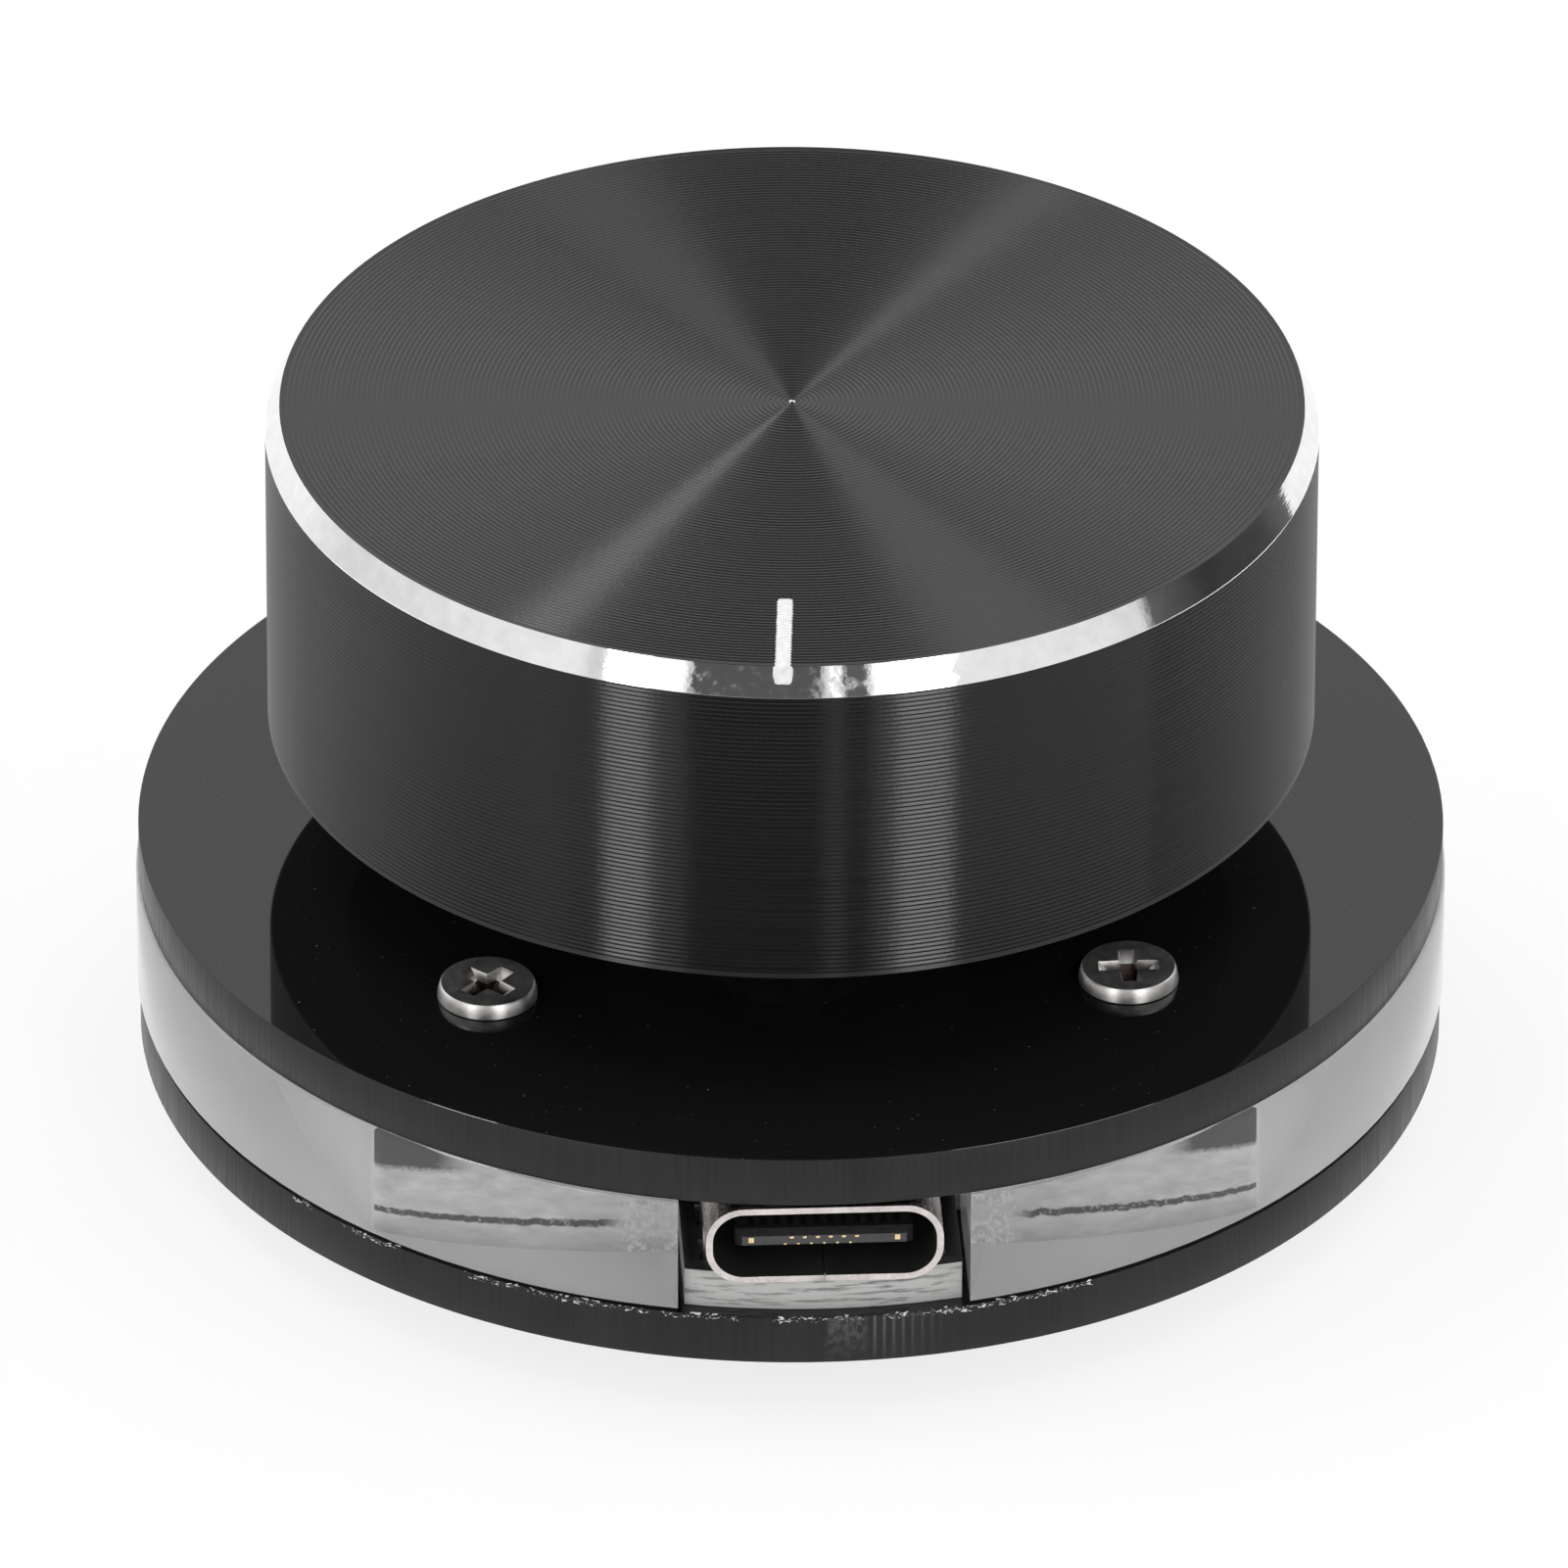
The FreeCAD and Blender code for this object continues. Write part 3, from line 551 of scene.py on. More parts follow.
# Dark finish for the screws' recess: painted shade
SCREW_RECESS_SHADE = metal("screw_recess_painted_shade", (0.16, 0.12, 0.11), (0.06, 0.045, 0.04), (0.4, 0.6), 0.2, 0.006)
BRASS = metal("standoff_plated", (0.78, 0.6, 0.34), (0.5, 0.36, 0.18), (0.22, 0.4), 0.3)
SHELL = metal("shell_steel", (0.78, 0.73, 0.72), (0.55, 0.5, 0.49), (0.2, 0.36), 0.2, 0.004)
INSULATOR = moulded("socket_black", 0.010, 0.02, (0.35, 0.55))
TONGUE = moulded("tongue_grey", 0.035, 0.06, (0.4, 0.6))
GOLD = metal("contact_gilt", (0.95, 0.76, 0.42), (0.7, 0.5, 0.22), (0.15, 0.3), 0.1)
PACKAGE = moulded("chip_black", 0.014, 0.028, (0.5, 0.7), 0.06, 0.01)
TIN = metal("tinned", (0.7, 0.69, 0.67), (0.48, 0.47, 0.46), (0.22, 0.42), 0.15)
CERAMIC = moulded("capacitor_tan", (0.36, 0.24, 0.14), (0.46, 0.32, 0.2), (0.4, 0.6))
FILM = moulded("resistor_dark", (0.015, 0.015, 0.017), (0.03, 0.03, 0.034), (0.3, 0.5))
LAMP_CASE = moulded("lamp_white", (0.72, 0.72, 0.7), (0.8, 0.8, 0.78), (0.35, 0.5))
RESIN = moulded("encoder_resin_dark", 0.02, 0.04, (0.45, 0.65))
ROTOR = moulded("rotor_resin_white", (0.6, 0.59, 0.55), (0.7, 0.69, 0.64), (0.4, 0.6))
ZINC = metal("bushing_cast", (0.6, 0.61, 0.62), (0.42, 0.43, 0.44), (0.3, 0.5), 0.2, 0.006)
BRACKET = metal("bracket_plated", (0.66, 0.66, 0.65), (0.5, 0.5, 0.49), (0.25, 0.42), 0.3)
SPRING = metal("spring_bright", (0.7, 0.69, 0.66), (0.52, 0.5, 0.47), (0.2, 0.35), 0.15)
SHAFT = metal(
    "shaft_turned", (0.64, 0.64, 0.65), (0.5, 0.5, 0.51), (0.2, 0.36), 0.1, 0.004, (0.1, 0.1, 1))
SET_SCREW = metal("set_screw_black", 0.1, 0.05, (0.3, 0.5), 0.2, 0.006)


# Shapes


def new_object(name, data):
    """An object in the scene."""
    thing = bpy.data.objects.new(name, data)
    bpy.context.scene.collection.objects.link(thing)
    return thing


def mesh_of(built, name):
    """The mesh of a bmesh, which is freed."""
    mesh = bpy.data.meshes.new(name)
    built.to_mesh(mesh)
    built.free()
    return mesh


def closed_mesh(built, name):
    """The mesh of a bmesh without openings, its faces turned outwards."""
    bmesh.ops.recalc_face_normals(built, faces=built.faces)
    return mesh_of(built, name)


def bridge(built, rows, closed=True):
    """Faces between each row of points and the next."""
    count = len(rows[0])
    for first, second in zip(rows, rows[1:]):
        for i in range(count if closed else count - 1):
            j = (i + 1) % count
            built.faces.new((first[i], first[j], second[j], second[i]))


def finish_piece(mesh, name, body, materials, replaced=()):
    """Makes a shown piece of a mesh: it rides on a body and takes a material slot's finish."""
    piece = new_object(name, mesh)
    if not mesh.materials:
        for material in materials:
            mesh.materials.append(material)
    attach(piece, body)
    if replaced:
        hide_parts(*replaced)


def turned(name, profile, steps):
    """A turned mesh from (radius, height, finish, sharp) rings in order; radius 0 is a point."""
    built = bmesh.new()
    rings = []
    for radius, height, _, _ in profile:
        if radius == 0:
            rings.append([built.verts.new((0, 0, height))])
            continue
        turn = [2 * math.pi * i / steps for i in range(steps)]
        places = [(radius * math.sin(a), -radius * math.cos(a), height) for a in turn]
        rings.append([built.verts.new(place) for place in places])
    for (_, _, finish, _), first, second in zip(profile, rings, rings[1:]):
        for i in range(steps):
            j = (i + 1) % steps
            corners = [first[i % len(first)], second[i % len(second)]]
            corners += [second[j]] if len(second) > 1 else []
            corners += [first[j]] if len(first) > 1 else []
            face = built.faces.new(corners)
            face.material_index = finish
            face.smooth = True
    for (_, _, _, sharp), ring in zip(profile, rings):
        if sharp and len(ring) > 1:
            for i in range(steps):
                built.edges.get((ring[i], ring[(i + 1) % steps])).smooth = False
    return closed_mesh(built, name)


def cylinder_along(start, end, radius, steps=48):
    """A closed cylinder mesh between two points, used as a cutter."""
    axis = end - start
    built = bmesh.new()
    place = Matrix.Translation((start + end) / 2) @ axis.to_track_quat("Z", "Y").to_matrix().to_4x4()
    bmesh.ops.create_cone(
        built, cap_ends=True, segments=steps, radius1=radius, radius2=radius, depth=axis.length,
        matrix=place)
    return mesh_of(built, "cutter")


def block(low, high):
    """A closed box mesh between two corners, used as a cutter."""
    built = bmesh.new()
    size = high - low
    place = Matrix.Translation((low + high) / 2) @ Matrix.Diagonal((*size, 1))
    bmesh.ops.create_cube(built, size=1, matrix=place)
    return mesh_of(built, "cutter")


def cut(mesh, cutters):
    """The mesh with the cutters' volumes taken away."""
    body = new_object("cut_body", mesh)
    tools = []
    for cutter in cutters:
        tool = new_object("cut_tool", cutter)
        step = body.modifiers.new("cut", "BOOLEAN")
        step.operation = "DIFFERENCE"
        step.solver = "EXACT"
        step.object = tool
        tools.append(tool)
    result = evaluated_mesh(body)
    for thing in [body, *tools]:
        bpy.data.objects.remove(thing)
    built = bmesh.new()
    built.from_mesh(result)
    bmesh.ops.dissolve_degenerate(built, dist=WELD, edges=built.edges)
    built.to_mesh(result)
    built.free()
    return result


def evaluated_mesh(thing):
    """A copy of an object's mesh with its modifiers applied."""
    bpy.context.view_layer.update()
    graph = bpy.context.evaluated_depsgraph_get()
    return bpy.data.meshes.new_from_object(thing.evaluated_get(graph), depsgraph=graph)


def solid_copy(node):
    """A node's solid as a bmesh, with its flat faces whole."""
    built = bmesh.new()
    built.from_mesh(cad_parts[node].data)
    bmesh.ops.remove_doubles(built, verts=built.verts, dist=WELD)
    bmesh.ops.dissolve_limit(
        built, angle_limit=math.radians(1), verts=built.verts, edges=built.edges,
        use_dissolve_boundaries=False)
    return built


def rounded_copy(node, width, segments=2, angle=30):
    """A copy of a node's mesh with its sharp edges rounded."""
    body = new_object("round_body", mesh_of(solid_copy(node), node + "_round"))
    step = body.modifiers.new("round", "BEVEL")
    step.width = width
    step.segments = segments
    step.limit_method = "ANGLE"
    step.angle_limit = math.radians(angle)
    step.harden_normals = False
    result = evaluated_mesh(body)
    bpy.data.objects.remove(body)
    result.materials.clear()
    shade(result)
    return result


def shade(mesh, angle=35):
    """Smooth faces, with edges sharper than the angle left hard."""
    mesh.shade_smooth()
    mesh.set_sharp_from_angle(angle=math.radians(angle))


# Knob


def ring_profile():
    """The knob's section, from the middle of its top, over the outside, to the top of its bore."""
    crest = KNOB_TOP - PAINT_STAND
    rim = KNOB_RADIUS - BEVEL_WIDTH
    bevel_foot = KNOB_TOP - BEVEL_HEIGHT
    profile = [(0, crest - PIP_SINK, 0, False), (PIP_RADIUS * 0.6, crest - PIP_SINK * 0.4, 1, True)]
    count = int((rim - PIP_RADIUS) / TOP_PITCH)
    for i in range(count):
        inner = PIP_RADIUS + i * TOP_PITCH
        profile.append((inner, crest, 0, True))
        profile.append((inner + TOP_PITCH * TOP_LEAN, crest - TOP_DEPTH, 0, True))
    profile.append((rim - 2 * EDGE_BREAK, crest, 0, True))
    profile.append((rim, crest - EDGE_BREAK, 1, True))
    profile.append((KNOB_RADIUS - EDGE_BREAK, bevel_foot + EDGE_BREAK, 1, True))
    count = int((bevel_foot - KNOB_BASE - SIDE_MARGIN) / SIDE_PITCH)
    for i in range(count):
        upper = bevel_foot - i * SIDE_PITCH
        profile.append((KNOB_RADIUS, upper, 2, True))
        profile.append((KNOB_RADIUS - SIDE_DEPTH, upper - SIDE_PITCH / 2, 2, True))
    roof = KNOB_TOP - KNOB_TOP_THICKNESS
    inside = KNOB_RADIUS - KNOB_WALL
    corners = [
        (KNOB_RADIUS, KNOB_BASE + KNOB_CHAMFER), (KNOB_RADIUS - KNOB_CHAMFER, KNOB_BASE),
        (inside + KNOB_CHAMFER, KNOB_BASE), (inside, KNOB_BASE + KNOB_CHAMFER), (inside, roof),
        (HUB_RADIUS, roof), (HUB_RADIUS, HUB_BASE), (BORE_RADIUS + KNOB_CHAMFER, HUB_BASE),
        (BORE_RADIUS, HUB_BASE + KNOB_CHAMFER), (BORE_RADIUS, BORE_END), (0, BORE_END)]
    return profile + [(*corner, 2 if i < 2 else 3, True) for i, corner in enumerate(corners)]


def make_knob():
    """The turned knob, with the set screw's access hole and thread at its back."""
    mesh = turned("spun_knob", ring_profile(), KNOB_STEPS)
    for material in (SPUN_TOP, POLISHED, SPUN_SIDE, KNOB_INSIDE):
        mesh.materials.append(material)
    screw_height = (set_screw_low.z + set_screw_high.z) / 2
    outward = Vector((-math.sin(KNOB_ANGLE), math.cos(KNOB_ANGLE), 0))
    middle = UP * screw_height
    access = cylinder_along(middle + outward * (KNOB_RADIUS - KNOB_WALL - CUT_MARGIN),
                            middle + outward * (KNOB_RADIUS + CUT_MARGIN), ACCESS_RADIUS)
    thread = cylinder_along(middle, middle + outward * (HUB_RADIUS + CUT_MARGIN), THREAD_RADIUS)
    finish_piece(cut(mesh, [access, thread]), "spun_knob", "knob", [], ["knob_body"])


def knob_surface(radius):
    """Height of the knob's top or bevel at a distance from its axis."""
    rim = KNOB_RADIUS - BEVEL_WIDTH
    return KNOB_TOP - max(0, radius - rim) * BEVEL_HEIGHT / BEVEL_WIDTH


def make_pointer():
    """The painted line: flat on the top, down over the bevel, with a small blob at its end."""
    built = bmesh.new()
    rows = []
    rim = KNOB_RADIUS - BEVEL_WIDTH
    flat_rows, slope_rows = POINTER_ROWS
    radii = [POINTER_START + (rim - POINTER_START) * i / flat_rows for i in range(flat_rows)]
    radii += [rim + (POINTER_END - rim) * i / slope_rows for i in range(slope_rows + 1)]
    for radius in radii:
        share = (radius - POINTER_START) / (POINTER_END - POINTER_START)
        corner = min(1, math.sqrt(min(share, 1 - share) * 40))
        blob = 1 + BLOB_SWELL * math.exp(-(((radius - rim - BLOB_PLACE) / BLOB_LENGTH) ** 2))
        wander = PAINT_WANDER * noise.noise(Vector((share * 30, 0.3, 0)))
        half = POINTER_WIDTH / 2 * (0.75 + 0.25 * corner) * blob
        lump = PAINT_LUMP + BLOB_LUMP * (radius > rim)
        row = []
        for j in range(POINTER_ACROSS + 1):
            side = 2 * j / POINTER_ACROSS - 1
            at_side = abs(side) == 1
            stand = PAINT_STAND * (0.2 + 0.8 * (1 - side ** 4))
            edge = lump * noise.noise(Vector((share * 60, side * 5, 1.7))) if at_side else 0
            drop = PAINT_STAND + PAINT_SINK * (at_side or radius in (radii[0], radii[-1]))
            place = Vector((side * half + wander + edge, -radius, knob_surface(radius) - drop + stand))
            row.append(built.verts.new(place))
        rows.append(row)
    bridge(built, rows, closed=False)
    for face in built.faces:
        face.smooth = True
    lower = bmesh.ops.extrude_face_region(built, geom=list(built.faces))["geom"]
    lower = [piece for piece in lower if isinstance(piece, bmesh.types.BMVert)]
    bmesh.ops.translate(built, verts=lower, vec=-UP * PAINT_DEPTH)
    bmesh.ops.rotate(
        built, verts=built.verts, cent=(0, 0, 0), matrix=Matrix.Rotation(KNOB_ANGLE, 3, "Z"))
    mesh = closed_mesh(built, "pointer_line")
    finish_piece(mesh, "pointer_line", "knob", [PAINT], ["pointer_mark"])


# Plates


def add_loop(curve, points):
    """A closed straight-sided loop in a flat curve."""
    loop = curve.splines.new("POLY")
    loop.points.add(len(points) - 1)
    for point, (x, y) in zip(loop.points, points):
        point.co = (x, y, 0, 1)
    loop.use_cyclic_u = True


def circle_points(centre, radius, steps):
    """The points of a circle."""
    turn = [2 * math.pi * i / steps for i in range(steps)]
    return [(centre[0] + radius * math.cos(a), centre[1] + radius * math.sin(a)) for a in turn]


def rounded_rectangle(half_x, half_y, corner, steps=8):
    """The points of a rectangle about the middle, with round corners."""
    points = []
    for quarter, (sx, sy) in enumerate(((1, 1), (-1, 1), (-1, -1), (1, -1))):
        for i in range(steps + 1):
            angle = math.pi / 2 * (quarter + i / steps)
            points.append((sx * (half_x - corner) + corner * math.cos(angle),
                           sy * (half_y - corner) + corner * math.sin(angle)))
    return points


def sawn_outline(radius, seed):
    """A circle whose edge has the fine upright steps of a sawn disc."""
    points = []
    for i in range(PLATE_STEPS):
        angle = 2 * math.pi * i / PLATE_STEPS
        across = Vector((math.cos(angle), math.sin(angle), seed))
        fine = noise.noise(across * PLATE_STROKES)
        coarse = max(0, noise.noise(across * PLATE_DRIFT)) + PLATE_RIPPLE_LEAST
        depth = PLATE_RIPPLE * coarse * (0.5 + 0.5 * fine)
        points.append(((radius - depth) * across.x, (radius - depth) * across.y))
    return points


def make_plate(name, low, high, holes, seed, replaced):
    """A plate with a sawn edge and holes; its faces are glossy and flat, its edge satin and smooth."""
    curve = bpy.data.curves.new(name, "CURVE")
    curve.dimensions = "2D"
    curve.fill_mode = "BOTH"
    add_loop(curve, sawn_outline(high.x, seed))
    for hole in holes:
        add_loop(curve, hole)
    curve.extrude = (high.z - low.z) / 2 - PLATE_EDGE_ROUND
    curve.bevel_depth = PLATE_EDGE_ROUND
    curve.bevel_resolution = 1
    curve.offset = -PLATE_EDGE_ROUND
    shape = new_object(name, curve)
    mesh = evaluated_mesh(shape)
    bpy.data.objects.remove(shape)
    mesh.transform(Matrix.Translation(UP * (low.z + high.z) / 2))
    built = bmesh.new()
    built.from_mesh(mesh)
    bmesh.ops.remove_doubles(built, verts=built.verts, dist=PLATE_WELD)
    bmesh.ops.recalc_face_normals(built, faces=built.faces)
    for face in built.faces:
        face.material_index = 0 if abs(face.normal.z) > 0.9 else 1
    built.to_mesh(mesh)
    built.free()
    shade(mesh, 25)
    for face in mesh.polygons:
        face.use_smooth = face.material_index == 1
    finish_piece(mesh, name, "base", [BLACK_GLOSS, CUT_EDGE], [replaced])


def screw_places():
    """Where the screws stand."""
    return [(-SCREW_X, -SCREW_Y), (SCREW_X, -SCREW_Y), (SCREW_X, SCREW_Y), (-SCREW_X, SCREW_Y)]


def make_plates():
    """Both black plates; the upper one is open round the encoder."""
    holes = [circle_points(place, SCREW_HOLE, 40) for place in screw_places()]
    opening = rounded_rectangle(OPENING_HALF_X, OPENING_HALF_Y, OPENING_CORNER)
    make_plate("upper_plate", plate_low, plate_high, [*holes, opening], 0.4, "top_plate")
    make_plate("lower_plate", base_low, base_high, holes, 7.3, "bottom_plate")


# Ring


def make_ring():
    """The clear ring, a hair clear of the plates, with matt flat faces and a milled pocket."""
    built = solid_copy("clear_ring")
    rims = []
    for edge in built.edges:
        level = abs(edge.verts[0].co.z - edge.verts[1].co.z) < LEVEL_TOLERANCE
        outside = min(math.hypot(v.co.x, v.co.y) for v in edge.verts) > ring_high.x - RIM_TOLERANCE
        if level and outside and edge.calc_face_angle(0) > 1:
            rims.append(edge)
    bmesh.ops.bevel(built, geom=rims, offset=RING_EDGE_ROUND, segments=2, profile=0.5, affect="EDGES")
    mesh = mesh_of(built, "cast_ring")
    shade(mesh)
    tall = ring_high.z - ring_low.z
    squeeze = 1 - (RING_GAP_BELOW + RING_GAP_ABOVE) / tall
    for vertex in mesh.vertices:
        vertex.co.z = ring_low.z + RING_GAP_BELOW + (vertex.co.z - ring_low.z) * squeeze
    for material in (CLEAR, MATT, MILLED):
        mesh.materials.append(material)
    for face in mesh.polygons:
        reach = math.hypot(face.center.x, face.center.y)
        in_slot = face.center.y < 0 and abs(face.center.x) < shell_high.x + SLOT_MARGIN
        inside = reach < ring_high.x - RING_WALL_MARGIN and abs(face.normal.z) < 0.5
        if abs(face.normal.z) > 0.99:
            face.material_index = 1
            face.use_smooth = False
        elif inside and not in_slot:
            face.material_index = 1 if abs(face.normal.x) > abs(face.normal.y) else 2
    finish_piece(mesh, "cast_ring", "base", [], ["clear_ring"])


def make_seam_chips():
    """Small flakes that the saw left along the seam between the ring and the lower plate."""
    source = random.Random(CHIP_SEED)
    long, deep, tall = CHIP_REACH
    built = bmesh.new()
    for _ in range(CHIP_COUNT):
        angle = math.radians(source.uniform(CHIP_START, CHIP_END))
        if noise.noise(Vector((angle * CHIP_CLUSTERS, 0.5, CHIP_SEED))) < CHIP_GAPS:
            continue
        size = CHIP_SIZE * source.uniform(CHIP_SMALLEST, 1) ** CHIP_SIZE_POWER
        around = Vector((math.sin(angle), -math.cos(angle), 0))
        centre = around * (base_high.x - size * CHIP_SINK)
        centre += UP * (base_high.z - CHIP_DROP * source.random())
        along = Vector((around.y, -around.x, 0))
        corners = []
        for _ in range(4):
            nudge = along * source.uniform(-long, long) + around * source.uniform(-deep, deep)
            place = centre + (nudge + UP * source.uniform(-tall, tall)) * size
            place.y = max(place.y, base_low.y)
            corners.append(built.verts.new(place))
        for i in range(4):
            built.faces.new([corner for j, corner in enumerate(corners) if j != i])
    finish_piece(closed_mesh(built, "seam_chips"), "seam_chips", "base", [FLAKE])


# Screws


def recess_cutter(top):
    """A cross whose arms taper towards its floor, open above the head."""
    built = bmesh.new()
    rows = []
    for share, length, width in RECESS_ROWS:
        row = []
        for quarter in range(4):
            turn = Matrix.Rotation(math.pi / 2 * quarter, 2)
            for corner in ((length, -width), (length, width), (width * 1.15, width * 1.15)):
                place = turn @ Vector(corner) * MM
                row.append(built.verts.new((*place, top - RECESS_DEPTH * share)))
        rows.append(row)
    bridge(built, rows)
    built.faces.new(rows[0])
    built.faces.new(rows[-1])
    return closed_mesh(built, "recess")


def screw_mesh(top, tip):
    """One screw along the axis: flat head with a rounded shoulder, cross recess and threaded shank;
    the recess's deep middle is painted dark as shade.
    """
    seat = top - HEAD_HEIGHT
    profile = [(0, top, 0, False), (HEAD_FLAT * 0.5, top, 0, False), (HEAD_FLAT, top, 0, False)]
    swell = HEAD_RADIUS - HEAD_FLAT
    profile += [(HEAD_FLAT + swell * share, top - HEAD_HEIGHT * drop, 0, share == SHOULDER_ROWS[0][0])
                for share, drop in SHOULDER_ROWS]
    profile.append((HEAD_RADIUS - HEAD_UNDERCUT, seat, 0, True))
    height = seat
    while height - THREAD_PITCH > tip + TIP_LENGTH:
        profile.append((SHANK_RADIUS, height, 0, True))
        profile.append((SHANK_RADIUS - THREAD_DEPTH, height - THREAD_PITCH / 2, 0, True))
        height -= THREAD_PITCH
    profile.append((SHANK_RADIUS, height, 0, True))
    profile += [(SHANK_RADIUS * 0.7, tip, 0, True), (0, tip, 0, False)]
    mesh = cut(turned("screw", profile, SCREW_STEPS), [recess_cutter(top)])
    mesh.materials.clear()
    shade(mesh, 30)
    mesh.materials.append(SCREW)
    mesh.materials.append(SCREW_RECESS_SHADE)
    # Painted shade: the deep middle of the cross recess takes the dark finish
    for face in mesh.polygons:
        middle = math.hypot(face.center.x, face.center.y) < RECESS_SHADE_RADIUS
        deep = top - HEAD_HEIGHT * 3 < face.center.z < top - RECESS_DEPTH * 0.3
        face.material_index = 1 if middle and deep else 0
    return mesh


def make_screws():
    """Four screws from above and four from below, each set turned by its own angles."""
    one = screw_mesh(screw_high.z, screw_low.z)
    mirror = screw_mesh(-lower_screw_low.z, -lower_screw_high.z)
    for name, source, flip, replaced in (
            ("upper_screws", one, False, "top_screws"),
            ("lower_screws", mirror, True, "bottom_screws")):
        built = bmesh.new()
        for (x, y), turn in zip(screw_places(), SCREW_TURNS):
            part = source.copy()
            place = Matrix.Translation((x, y, 0)) @ Matrix.Rotation(math.radians(turn), 4, "Z")
            if flip:
                place = place @ Matrix.Rotation(math.pi, 4, "X")
            part.transform(place)
            built.from_mesh(part)
            bpy.data.meshes.remove(part)
        finish_piece(
            mesh_of(built, name), name, "base", [SCREW, SCREW_RECESS_SHADE], [replaced])


# Socket


def make_socket():
    """The socket's shell with its seam, its inner faces painted black as shade, and the tongue with
    its contacts.
    """
    shell = rounded_copy("usb_shell", SHELL_EDGE_ROUND, 3)
    shell.materials.append(SHELL)
    shell.materials.append(INSULATOR)
    middle = (tongue_low.z + tongue_high.z) / 2
    # Painted shade: the shell's inner faces above the board take the black insulator finish
    for face in shell.polygons:
        way = Vector((face.center.x * 0.4, 0, face.center.z - middle))
        turned_in = abs(face.normal.y) < 0.5 and face.normal.dot(way) < 0
        shade_painted_inside = turned_in and face.center.z > board_high.z
        face.material_index = 1 if shade_painted_inside and abs(face.center.x) < shell_high.x else 0
    seam = block(Vector((-SEAM_WIDTH / 2, shell_low.y - CUT_MARGIN, tongue_low.z - SEAM_DROP)),
                 Vector((SEAM_WIDTH / 2, shell_low.y + SEAM_LENGTH, tongue_low.z + SEAM_RISE)))
    shell = cut(shell, [seam])
    shade(shell, 40)
    finish_piece(shell, "formed_shell", "base", [SHELL], ["usb_shell"])
    tongue = rounded_copy("usb_tongue", TONGUE_EDGE_ROUND)
    for vertex in tongue.vertices:
        if vertex.co.y < tongue_low.y + NOSE_LENGTH / 2:
            vertex.co.y += NOSE_LENGTH - NOSE_OVERLAP
    finish_piece(tongue, "moulded_tongue", "base", [INSULATOR], ["usb_tongue"])
    make_tongue_nose()
    make_contact_strips()
    make_contact_tips()


def make_tongue_nose():
    """The plain front end of the tongue, which closes the contacts' grooves."""
    low, high = contact_low.z, contact_high.z
    built = bmesh.new()
    rows = []
    for depth, share in ((-NOSE_STAND, 1), (NOSE_SLOPE, 0), (NOSE_LENGTH, 0)):
        y = tongue_low.y + depth
        reach = TONGUE_HALF_WIDTH - NOSE_SLOPE * share
        bottom = low + NOSE_SLOPE / 2 * share
        top = high - NOSE_SLOPE * 0.8 * share
        corners = ((-reach, bottom), (reach, bottom), (reach, top), (-reach, top))
        rows.append([built.verts.new((x, y, z)) for x, z in corners])
    bridge(built, rows)
    built.faces.new(rows[0]).material_index = 1
    built.faces.new(rows[-1])
    mesh = closed_mesh(built, "tongue_nose")
    finish_piece(mesh, "tongue_nose", "base", [INSULATOR, TONGUE])


def make_contact_strips():
    """The contacts along the tongue's faces: their front ends lie behind its front edge."""
    mesh = rounded_copy("usb_contacts", STRIP_EDGE_ROUND)
    for vertex in mesh.vertices:
        if vertex.co.y < tongue_low.y + STRIP_FRONT:
            vertex.co.y += STRIP_SETBACK
    finish_piece(mesh, "contact_strips", "base", [GOLD], ["usb_contacts"])


def make_contact_tips():
    """The gilt ends of the contacts in the tongue's front: two rows of six and a pad at each side."""
    built = bmesh.new()
    front = tongue_low.y - NOSE_STAND
    middle = (contact_low.z + contact_high.z) / 2
    for i in range(TIP_COUNT):
        x = (i - (TIP_COUNT - 1) / 2) * CONTACT_PITCH
        upper = (x, front, middle + TIP_ROW_RISE)
        lower = (x - CONTACT_PITCH / 2, front, middle - TIP_ROW_DROP)
        for spot, shape in ((upper, TIP_SHAPE), (lower, LOW_TIP_SHAPE)):
            place = Matrix.Translation(spot) @ Matrix.Diagonal(shape)
            bmesh.ops.create_uvsphere(
                built, u_segments=12, v_segments=8, radius=TIP_RADIUS, matrix=place)
    for side in (-1, 1):
        place = Matrix.Translation((side * PAD_SIDE, front, middle)) @ Matrix.Diagonal(PAD_SIZE)
        bmesh.ops.create_cube(built, size=1, matrix=place)
    for face in built.faces:
        face.smooth = len(face.verts) == 4 and face.calc_area() < 1e-9
    finish_piece(mesh_of(built, "contact_tips"), "contact_tips", "base", [GOLD])


# Inner pieces


